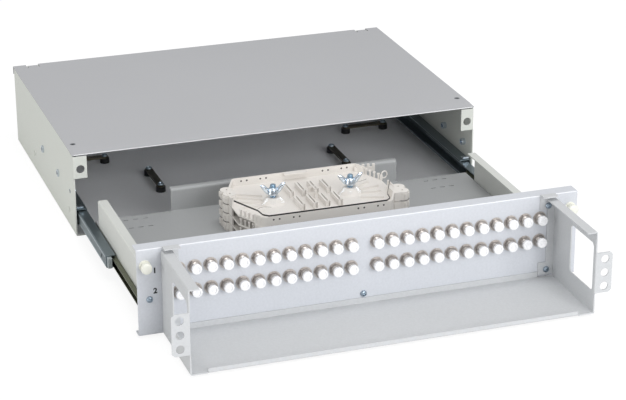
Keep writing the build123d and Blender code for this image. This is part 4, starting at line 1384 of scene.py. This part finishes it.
@dataclass
class SpliceStack:
    """Splice trays with their combs, guides, lid, studs and wing nuts."""

    centre_y: float = -102.0 * MM
    levels: int = 4
    floor: float = 1.6 * MM
    wall: float = 1.6 * MM
    half_length: float = 82.0 * MM
    half_width: float = 54.5 * MM
    front_half: float = 66.0 * MM
    end_half: float = 20.0 * MM

    rib_count: int = 4
    rib_pitch: float = 13.0 * MM
    rib_ends: tuple[float, float] = (4.0 * MM, 31.0 * MM)
    rib_height: float = 5.4 * MM
    rib_width: float = 0.8 * MM
    twin_x: float = 2.9 * MM
    fin_count: int = 3
    fin_pitch: float = 2.0 * MM
    fin_reach: tuple[float, float] = (-0.2 * MM, 2.2 * MM)
    fin_rise: float = 1.2 * MM

    guide_ribs_mm: tuple[Route, ...] = (
        ((-70, 27), (-46, 15.5)),
        ((-72, 20), (-49, 6)),
        ((-74, 8), (-50, -2)),
        ((-72, -8), (-50, -9)),
        ((45, -19.5), (67, -27)),
        ((70, -10), (50, -9)),
        ((73, 4), (51, 0)),
        ((67, 17), (51, 7.5)),
    )
    guide_width: float = 0.6 * MM
    guide_height: float = 2.2 * MM
    arc_centres_mm: Route = ((5.0, 9.5), (-1.5, -6.0))
    arc_radius_mm: float = 4.4
    arc_width: float = 0.7 * MM
    arc_height: float = 6.0 * MM
    arc_steps: int = 8

    seam_lift: float = 0.03 * MM
    seam_depth: float = 0.15 * MM
    seam_half: float = 0.18 * MM
    seam_end: float = 1.5 * MM
    tie_hole_x: tuple[float, ...] = (30.2 * MM, 36.3 * MM, 50.6 * MM, 56.6 * MM)
    tie_hole_drop: float = 3.2 * MM
    tie_hole_radius: float = 0.95 * MM
    tie_hole_faces: tuple[float, float] = (-0.05 * MM, 0.03 * MM)
    tie_hole_segments: int = 16

    rail_mm: Route = ((64.0, 50.5), (70.0, 49.4), (85.0, 46.8))
    rail_width: float = 2.0 * MM
    rail_top: float = 6.2 * MM
    clip_count: int = 4
    clip_start_mm: tuple[float, float] = (66.0, 50.1)
    clip_step_mm: tuple[float, float] = (5.4, -0.95)
    clip_along_mm: tuple[float, float] = (2.6, -0.45)
    clip_width: float = 2.6 * MM
    clip_levels: tuple[float, float] = (6.0 * MM, 9.4 * MM)
    loop_mm: tuple[float, float] = (85.2, 20.5)
    loop_level: float = 7.0 * MM
    loop_radii: tuple[float, float, float] = (3.2 * MM, 0.6 * MM, 3.6 * MM)
    loop_wire: float = 0.75 * MM
    loop_steps: int = 20
    stem_mm: Route = ((80.6, 19.6), (83.0, 20.0))
    stem_width: float = 1.6 * MM
    stem_top: float = 7.5 * MM

    # Half length, width, foot and top of a cord finger's stem and of its head.
    finger_stem: tuple[float, float, float, float] = (0.8 * MM, 1.4 * MM, 0.0, 5.6 * MM)
    finger_head: tuple[float, float, float, float] = (1.3 * MM, 2.2 * MM, 5.4 * MM, 6.6 * MM)
    finger_count: int = 6
    finger_first: tuple[float, float] = (67.5 * MM, 50.0 * MM)
    finger_last: tuple[float, float] = (80.0 * MM, 23.0 * MM)
    finger_turn: float = 0.5
    tab_x: tuple[float, float] = (-79.0 * MM, 85.5 * MM)
    tab_y: tuple[float, float] = (18.5 * MM, 29.5 * MM)
    tab_radius: float = 6.5 * MM
    tab_height: float = 8.9 * MM
    tab_teeth: int = 9
    tooth_radius: float = 1.3 * MM
    tooth_foot: float = 1.8 * MM
    tooth_drop: float = 1.9 * MM
    tooth_overlap: float = 0.2 * MM
    tooth_back: float = 1.0 * MM
    gap_radius: float = 0.42 * MM
    gap_sink: float = 0.05 * MM
    gap_drop: float = 0.3 * MM
    gap_steps: int = 24

    lid_lines_mm: tuple[Route, ...] = (
        ((-66.8, -35.1), (-63.0, -32.0), (-59.2, -31.1), (-52.5, -34.1)),
        ((-47.0, 13.5), (-45.5, 6.5), (-44.0, 1.8)),
        ((-37.0, 1.5), (-35.2, 3.2)),
        ((34.6, 13.5), (36.0, 6.0), (37.5, 1.8)),
        ((44.6, 0.0), (52.0, 1.2), (60.5, 5.0)),
    )
    lid_line_width: float = 0.45 * MM
    lid_line_rise: float = 0.05 * MM
    lid_rim_width: float = 0.4 * MM
    lid_middle: float = 2.0 * MM
    lid_back: float = 1.0 * MM
    lid_slot: float = 5.0 * MM

    stud_pitch: float = 1.0 * MM
    stud_groove: float = 0.5 * MM
    stud_foot: float = 1.2 * MM
    stud_tip: float = 0.5 * MM
    stud_segments: int = 32
    nut_body: float = 5.3 * MM
    nut_height: float = 7.2 * MM
    nut_play: float = 0.05 * MM
    nut_segments: int = 40
    wing_crown: float = 1.35 * MM
    wing_outline: Route = (
        (0.32, 0.02),
        (0.46, 0.02),
        (0.56, 0.12),
        (0.74, 0.4),
        (0.93, 0.72),
        (1.0, 0.88),
        (0.99, 0.97),
        (0.9, 1.0),
        (0.74, 0.97),
        (0.58, 0.84),
        (0.44, 0.66),
        (0.32, 0.58),
    )

    def build(self) -> None:
        """Dress trays and lid, add the fine ribs and guides and replace studs and nuts."""
        trays = [f"splice_tray_{level + 1}" for level in range(self.levels)]
        finish_node(trays, TRAY_WHITE)
        finish_node(["splice_lid"], CLEAR_LID)
        feet = [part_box(tray)[0].z for tray in trays]
        self.combs(feet)
        self.guides(feet[-1])
        self.seams(feet[1:])
        self.tie_holes([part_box(tray)[1].z for tray in trays])
        self.fittings(feet[-1])
        self.fingers(feet)
        self.entry_teeth(feet)
        self.lid_lines()
        for side in ("left", "right"):
            self.stud(side)
            self.wing_nut(side)

    def put(self, name: str, mesh: bpy.types.Mesh, finish: Finish) -> None:
        """Put one extra mesh of the stack on the drawer."""
        piece(name, mesh, finish, "drawer")

    def spots(self, route: Route) -> list[tuple[float, float]]:
        """Return places in the row frame for places given in millimetres from the stack's middle."""
        return [(x * MM, self.centre_y + y * MM) for x, y in route]

    def combs(self, feet: Sequence[float]) -> None:
        """Set a twin rib with three end fins beside every comb rib of every tray.

        Args:
            feet: Heights of the trays' undersides.
        """
        shape = Shape()
        near, far = self.rib_ends
        shape.bar([(self.twin_x, near), (self.twin_x, far)], self.rib_width, 0.0, self.rib_height)
        fin_ends = [near + reach for reach in self.fin_reach]
        for step in range(self.fin_count):
            x = (step - 0.5) * self.fin_pitch
            shape.bar([(x, y) for y in fin_ends], self.rib_width, 0.0, self.rib_height + self.fin_rise)
        back = shape.finished()
        middle = (self.rib_count - 1) / 2
        points = [
            Vector(((index - middle) * self.rib_pitch, self.centre_y, foot + self.floor))
            for foot in feet
            for index in range(self.rib_count)
        ]
        front = back.copy()
        front.transform(Matrix.Translation((0, -near - far, 0)))
        for name, comb in (("rear", back), ("front", front)):
            mesh = Repeater.run(Repeater.on_points(), comb, TRAY_WHITE, Facing.UP, points=points)
            self.put(f"tray_combs_{name}", mesh, TRAY_WHITE)

    def guides(self, foot: float) -> None:
        """Add the thin fan-shaped guide ribs at both ends of the top tray, and its two upright arcs.

        Args:
            foot: Height of the tray's underside.
        """
        shape = Shape()
        low = foot + self.floor
        for rib in self.guide_ribs_mm:
            shape.bar(self.spots(rib), self.guide_width, low, low + self.guide_height)
        radius = self.arc_radius_mm
        for x, y in self.arc_centres_mm:
            arc = []
            for step in range(self.arc_steps + 1):
                angle = math.pi * (0.1 + 0.8 * step / self.arc_steps)
                arc.append((x + radius * math.cos(angle), y + radius * math.sin(angle)))
            shape.bar(self.spots(arc), self.arc_width, low, low + self.arc_height)
        self.put("tray_guides", shape.finished(), TRAY_WHITE)

    def seams(self, heights: Sequence[float]) -> None:
        """Add the fine shaded joints between the stacked trays along their straight walls.

        Args:
            heights: Heights of the joints.
        """
        shape = Shape()
        depth = self.seam_depth
        out = self.seam_lift - depth / 2
        reach, end = self.front_half - self.seam_end, self.end_half - self.seam_end
        for height in heights:
            low, high = height - self.seam_half, height + self.seam_half
            for side in (-1, 1):
                x, y = side * (self.half_length + out), self.centre_y + side * (self.half_width + out)
                shape.bar([(-reach, y), (reach, y)], depth, low, high)
                shape.bar([(x, self.centre_y - end), (x, self.centre_y + end)], depth, low, high)
        self.put("tray_seams", shape.finished(), SEAM_SHADE)

    def tie_holes(self, tops: Sequence[float]) -> None:
        """Mark the pairs of tie holes through the front and rear walls of every tray with dark discs of
        painted shade.

        Args:
            tops: Heights of the trays' rims.
        """
        rings = [circle(self.tie_hole_radius, level) for level in self.tie_hole_faces]
        disc = turned(rings, self.tie_hole_segments)
        disc.transform(Facing.FRONT.value)
        outside, inside = self.half_width, self.half_width - self.wall
        points = [
            Vector((sign * x, self.centre_y + y, top - self.tie_hole_drop))
            for top in tops
            for x in self.tie_hole_x
            for sign in (-1, 1)
            for y in (-outside, -inside, inside, outside)
        ]
        mesh = Repeater.run(Repeater.on_points(), disc, HOLE_SHADE, Facing.FRONT, points=points)
        self.put("tray_tie_holes", mesh, HOLE_SHADE)

    def fittings(self, foot: float) -> None:
        """Add the clip rail with its blocks and the cord loop at the top tray's rear right corner.

        Args:
            foot: Height of the tray's underside.
        """
        shape = Shape()
        low = foot + self.floor
        shape.bar(self.spots(self.rail_mm), self.rail_width, low, foot + self.rail_top)
        start, pitch, along = (
            Vector(pair) for pair in (self.clip_start_mm, self.clip_step_mm, self.clip_along_mm)
        )
        clip_low, clip_high = (foot + level for level in self.clip_levels)
        for step in range(self.clip_count):
            near = start + pitch * step
            shape.bar(self.spots((near, near + along)), self.clip_width, clip_low, clip_high)
        centre = Vector((*self.spots([self.loop_mm])[0], foot + self.loop_level))
        wide, deep, tall = self.loop_radii
        loop = [
            centre + Vector((wide * cosine, deep * cosine, tall * sine))
            for cosine, sine in turns(self.loop_steps)
        ]
        shape.tube(loop, self.loop_wire, closed=True, sides=8)
        shape.bar(self.spots(self.stem_mm), self.stem_width, low, foot + self.stem_top)
        self.put("tray_fittings", shape.finished(), TRAY_WHITE)

    def fingers(self, feet: Sequence[float]) -> None:
        """Stand the rows of cord fingers in the open corners of every tray.

        Args:
            feet: Heights of the trays' undersides.
        """
        shape = Shape()
        for half, width, low, high in (self.finger_stem, self.finger_head):
            shape.bar([(-half, 0.0), (half, 0.0)], width, low, high)
        first, last = Vector(self.finger_first), Vector(self.finger_last)
        points = []
        for foot in feet:
            for sign in (-1, 1):
                for step in range(self.finger_count):
                    spot = first.lerp(last, step / (self.finger_count - 1)) * sign
                    points.append(Vector((spot.x, self.centre_y + spot.y, foot + self.floor)))
        tree, finger, turn = Repeater.on_points(), shape.finished(), self.finger_turn
        mesh = Repeater.run(tree, finger, TRAY_WHITE, Facing.UP, points=points, turn_limit=turn, seed=11)
        self.put("tray_cord_fingers", mesh, TRAY_WHITE)

    def entry_teeth(self, feet: Sequence[float]) -> None:
        """Stand the upright teeth round the lobed cord entries and shade the gaps between the entries.

        Args:
            feet: Heights of the trays' undersides.
        """
        tooth, gaps, points = Shape(), Shape(), []
        ends = (self.tooth_foot, self.tab_height - self.tooth_drop)
        tooth.tube([Vector((0, 0, height)) for height in ends], self.tooth_radius, sides=8)
        ring_radius = self.tab_radius - self.gap_sink
        for x in self.tab_x:
            sign = math.copysign(1.0, x)
            lobes = [Vector((x, self.centre_y - sign * y)) for y in self.tab_y]
            for lobe in lobes:
                for spot in self.tooth_spots(lobe, lobes, sign):
                    points += [Vector((spot.x, spot.y, foot)) for foot in feet]
                ring = [lobe + Vector(turn) * ring_radius for turn in turns(self.gap_steps)]
                for foot in feet[1:]:
                    path = [Vector((spot.x, spot.y, foot - self.gap_drop)) for spot in ring]
                    gaps.tube(path, self.gap_radius, closed=True, sides=6)
        mesh = Repeater.run(Repeater.on_points(), tooth.finished(), TRAY_WHITE, Facing.UP, points=points)
        self.put("tray_entry_teeth", mesh, TRAY_WHITE)
        self.put("tray_entry_gaps", gaps.finished(), HOLE_SHADE)

    def tooth_spots(self, lobe: Vector, lobes: Sequence[Vector], sign: float) -> list[Vector]:
        """Find where the teeth stand round one lobe.

        Args:
            lobe: Middle of the lobe in plan.
            lobes: Middles of all lobes of its entry.
            sign: Side of the stack, -1 or 1.

        Returns:
            The teeth's places, but for those inside a lobe or on the tray's side.
        """
        found = []
        for turn in turns(self.tab_teeth):
            spot = lobe + Vector(turn) * self.tab_radius
            buried = any((spot - other).length < self.tab_radius - self.tooth_overlap for other in lobes)
            if not buried and (spot.x - lobe.x) * sign >= -self.tooth_back:
                found.append(spot)
        return found

    def lid_lines(self) -> None:
        """Add the dark rim of the clear lid, painted shade along its cut edge, and the thin dark lines round
        its cut-outs.
        """
        low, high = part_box("splice_lid")
        stud_low, stud_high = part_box("stud_right")
        stud_x, stud_y = (stud_low.x + stud_high.x) / 2, (stud_low.y + stud_high.y) / 2
        shape = bmesh.new()
        shape.from_mesh(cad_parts["splice_lid"].data)
        bmesh.ops.remove_doubles(shape, verts=shape.verts, dist=TINY)
        corners = []
        for vertex in shape.verts:
            x, y, z = vertex.co
            by_stud = math.hypot(abs(x) - stud_x, y - stud_y) < self.lid_slot
            if abs(z - high.z) < HAIR / 2 and not by_stud and y < self.centre_y + self.lid_back:
                corners.append((x, y))
        shape.free()
        corners.sort(key=lambda place: math.atan2(place[1] - self.centre_y - self.lid_middle, place[0]))
        lines = Shape()
        lines.bar(corners, self.lid_rim_width, low.z + 2 * HAIR, high.z + HAIR)
        for line in self.lid_lines_mm:
            top = high.z + self.lid_line_rise
            lines.bar(self.spots(line), self.lid_line_width, high.z - HAIR, top)
        self.put("lid_edge", lines.finished(), LID_SHADE_AND_LINES)

    def stud(self, side: str) -> None:
        """Replace one stud by a threaded one.

        Args:
            side: Which stud, left or right.
        """
        low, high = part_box(f"stud_{side}")
        radius, length = (high.x - low.x) / 2, high.z - low.z
        end = length - self.stud_tip
        rings = [
            circle(radius, 0.0),
            *thread(radius, self.stud_groove, self.stud_pitch, self.stud_foot, end - 0.2 * MM),
            circle(radius * 0.8, end),
            circle(radius * 0.7, length),
        ]
        mesh = turned(rings, self.stud_segments)
        mesh.transform(Matrix.Translation(((low.x + high.x) / 2, (low.y + high.y) / 2, low.z)))
        made = piece(f"stud_{side}_threaded", mesh, STUD_ZINC, "drawer")
        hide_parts(f"stud_{side}")

    def wing_nut(self, side: str) -> None:
        """Replace one wing nut by a rounded one with an open bore.

        Args:
            side: Which nut, left or right.
        """
        low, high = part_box(f"wing_nut_{side}")
        stud_low, stud_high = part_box(f"stud_{side}")
        shape = Shape()
        for sign in (-1, 1):
            self.wing(shape, sign * (high.x - low.x) / 2, high.z - low.z)
        self.nut_barrel(shape, (stud_high.x - stud_low.x) / 2 + self.nut_play)
        place = Matrix.Translation(((low.x + high.x) / 2, (low.y + high.y) / 2, low.z))
        mesh = shape.finished(place, 50.0)
        made = piece(f"wing_nut_{side}_rounded", mesh, NUT_ZINC, f"wing_nut_{side}")
        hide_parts(f"wing_nut_{side}")

    def wing(self, shape: Shape, reach: float, height: float) -> None:
        """Add one wing, thick at its middle and thin along its rim.

        Args:
            shape: Shape that gets it.
            reach: Distance of its tip from the axis, negative to the left.
            height: Height of the nut with its wings.
        """
        rim = [Vector((x * reach, 0.0, z * height)) for x, z in self.wing_outline]
        middle = sum(rim, Vector()) / len(rim)
        edge = [shape.mesh.verts.new(place) for place in rim]
        for side in (-1, 1):
            outer = edge
            for share, rise in ((0.93, 0.45), (0.8, 0.8), (0.5, 1.0)):
                lift = Vector((0.0, side * self.wing_crown * rise, 0.0))
                inner = [shape.mesh.verts.new(middle.lerp(place, share) + lift) for place in rim]
                skin(shape.mesh, outer, inner)
                outer = inner
            shape.mesh.faces.new(outer)

    def nut_barrel(self, shape: Shape, bore: float) -> None:
        """Add the nut's round body with its bore.

        Args:
            shape: Shape that gets it.
            bore: Radius of the bore.
        """
        body, top = self.nut_body, self.nut_height
        profile = (
            (bore, 0.0),
            (body * 0.96, 0.0),
            (body, 0.4 * MM),
            (body * 0.97, 1.4 * MM),
            (body * 0.84, top * 0.6),
            (body * 0.76, top * 0.86),
            (body * 0.68, top * 0.97),
            (bore + 0.25 * MM, top),
            (bore, top - 0.2 * MM),
        )
        loops = []
        for radius, level in profile:
            ring = [(radius * cosine, radius * sine, level) for cosine, sine in turns(self.nut_segments)]
            loops.append([shape.mesh.verts.new(spot) for spot in ring])
        for first, second in zip(loops, loops[1:] + loops[:1]):
            skin(shape.mesh, first, second)


@dataclass
class Latches:
    """Push latches at both ends of the front panel."""

    knob: float = 3.0 * MM
    shaft: float = 3.6 * MM
    segments: int = 48

    def build(self) -> None:
        """Dress the grommets and replace the plungers by rounded ones."""
        finish_node(["latch_grommet_left", "latch_grommet_right"], LATCH_CREAM)
        for side in ("left", "right"):
            self.plunger(side)

    def plunger(self, side: str) -> None:
        """Replace one plunger by one with a domed knob.

        Args:
            side: Which plunger, left or right.
        """
        low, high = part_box(f"latch_plunger_{side}")
        radius = (high.x - low.x) / 2
        seat = low.y + self.knob
        tip = high.y - seat
        rings = [
            circle(self.shaft * 0.84, -tip),
            circle(self.shaft, -tip + 0.6 * MM),
            circle(self.shaft, -HAIR),
            circle(radius * 0.97, 0.0),
            circle(radius, 0.25 * MM),
            circle(radius, self.knob * 0.5),
            circle(radius * 0.96, self.knob * 0.72),
            circle(radius * 0.84, self.knob * 0.88),
            circle(radius * 0.62, self.knob * 0.97),
            circle(radius * 0.2, self.knob),
        ]
        mesh = turned(rings, self.segments, Facing.FRONT)
        mesh.transform(Matrix.Translation(((low.x + high.x) / 2, seat, (low.z + high.z) / 2)))
        made = piece(f"latch_plunger_{side}_domed", mesh, KNOB_WHITE, f"latch_{side}")
        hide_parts(f"latch_plunger_{side}")


@dataclass(frozen=True)
class Lamp:
    """Soft rectangular lamp, with its places and size in metres and its power in watts."""

    name: str
    place: Place
    aim: Place
    size: tuple[float, float]
    power: float
    colour: Colour = (1.0, 1.0, 1.0)

    def build(self) -> None:
        """Hang the lamp where the camera doesn't see it."""
        data = bpy.data.lights.new(self.name, "AREA")
        data.shape = "RECTANGLE"
        data.size, data.size_y = self.size
        data.energy = self.power
        data.color = self.colour
        obj = bpy.data.objects.new(self.name, data)
        obj.location = self.place
        obj.rotation_euler = (Vector(self.aim) - Vector(self.place)).to_track_quat("-Z", "Y").to_euler()
        obj.visible_camera = False
        bpy.context.scene.collection.objects.link(obj)


@dataclass
class Studio:
    """Pale floor, soft lamps, white surroundings and the photograph's camera."""

    lens_px: float = 2116.9
    frame_width_px: float = 626.0
    frame_height_px: float = 400.0
    centre_px: tuple[float, float] = (305.8, 211.7)
    position: Place = (-0.6261, -1.9527, 0.8416)
    forward: Place = (0.2939, 0.8767, -0.3809)
    right: Place = (0.9474, -0.3200, -0.0055)
    sensor: float = 36.0
    ambient: float = 0.58
    floor_glow: float = 0.8
    floor_strength: float = 1.1
    floor_size: float = 12.0
    floor_colour: tuple[float, float, float, float] = (0.85, 0.85, 0.85, 1.0)
    floor_roughness: float = 0.9
    mirrored_white: float = 0.7
    clip: tuple[float, float] = (0.05, 50.0)
    lamps: tuple[Lamp, ...] = (
        Lamp("front", (0.8, -2.9, 0.95), (0.0, -0.2, 0.05), (1.8, 1.7), 50.0, (0.985, 0.99, 1.0)),
        Lamp("left", (-3.0, -0.3, 0.5), (0.0, -0.1, 0.04), (1.4, 0.8), 16.0, (1.0, 1.0, 0.96)),
        Lamp("top", (0.0, -0.3, 1.7), (0.0, -0.15, 0.0), (0.9, 0.6), 8.5),
    )

    def build(self) -> None:
        """Set the scene round the object."""
        self.camera()
        self.surroundings()
        self.floor()
        for lamp in self.lamps:
            lamp.build()
        bpy.context.scene.view_settings.view_transform = "Standard"

    def camera(self) -> None:
        """Make the camera fitted to the photograph."""
        data = bpy.data.cameras.new("camera")
        data.sensor_width = self.sensor
        data.lens = self.lens_px * self.sensor / self.frame_width_px
        data.shift_x = (self.frame_width_px / 2 - self.centre_px[0]) / self.frame_width_px
        data.shift_y = (self.centre_px[1] - self.frame_height_px / 2) / self.frame_width_px
        data.clip_start, data.clip_end = self.clip
        view = Vector(self.forward).normalized()
        right = Vector(self.right)
        right = (right - view * right.dot(view)).normalized()
        up = right.cross(view)
        turn = Matrix((right, up, -view)).transposed().to_4x4()
        obj = bpy.data.objects.new("camera", data)
        obj.matrix_world = Matrix.Translation(self.position) @ turn
        bpy.context.scene.collection.objects.link(obj)
        bpy.context.scene.camera = obj

    def surroundings(self) -> None:
        """Make the world white where it is seen and soft grey where it lights."""
        world = bpy.data.worlds.new("surroundings")
        world.use_nodes = True
        bpy.context.scene.world = world
        tree = world.node_tree
        path = add_node(tree, "ShaderNodeLightPath").outputs
        seen = maths(tree, "MAXIMUM", path["Is Camera Ray"], path["Is Transmission Ray"])
        gloss = maths(tree, "MULTIPLY", path["Is Glossy Ray"], self.mirrored_white)
        strength = maths(tree, "MAXIMUM", maths(tree, "MAXIMUM", seen, gloss), self.ambient)
        feed(tree, tree.nodes["Background"], {"Color": WHITE, "Strength": strength})

    def floor(self) -> None:
        """Make the pale floor that takes the object's shadow."""
        half = self.floor_size / 2
        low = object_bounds()[0].z
        mesh = bpy.data.meshes.new("floor")
        corners = [(-half, -half, low), (half, -half, low), (half, half, low), (-half, half, low)]
        mesh.from_pydata(corners, [], [(0, 1, 2, 3)])
        material, shader = new_material("pale_floor")
        tree = material.node_tree
        feed(tree, shader, {"Base Color": self.floor_colour, "Roughness": self.floor_roughness})
        glow = add_node(tree, "ShaderNodeEmission", {"Color": WHITE, "Strength": self.floor_strength})
        seen = add_node(tree, "ShaderNodeLightPath").outputs["Is Camera Ray"]
        share = maths(tree, "MULTIPLY", seen, self.floor_glow)
        looks = {"Fac": share, 1: shader.outputs["BSDF"], 2: glow.outputs["Emission"]}
        mix = add_node(tree, "ShaderNodeMixShader", looks)
        feed(tree, tree.nodes["Material Output"], {"Surface": mix.outputs["Shader"]})
        mesh.materials.append(material)
        obj = bpy.data.objects.new("floor", mesh)
        bpy.context.scene.collection.objects.link(obj)
        obj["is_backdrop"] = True


def note_size(sizes: dict[str, list[list[float]]], moment: str) -> None:
    """Args:
        sizes: Bounds noted so far, by moment.
        moment: When these bounds are taken.
    """
    sizes[moment] = [list(corner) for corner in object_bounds()]


def main() -> None:
    """Build and dress every sub-assembly and set up the studio."""
    logging.basicConfig(level=logging.INFO, format="%(name)s: %(message)s")
    sizes: dict[str, list[list[float]]] = {}
    note_size(sizes, "packed")
    for kind in (Housing, Slides, Drawer, AdapterField, Trough, SpliceStack, Latches, Studio):
        kind().build()
        LOG.info("built %s", kind.__name__)
    note_size(sizes, "dressed")


if __name__ == "__main__":
    main()
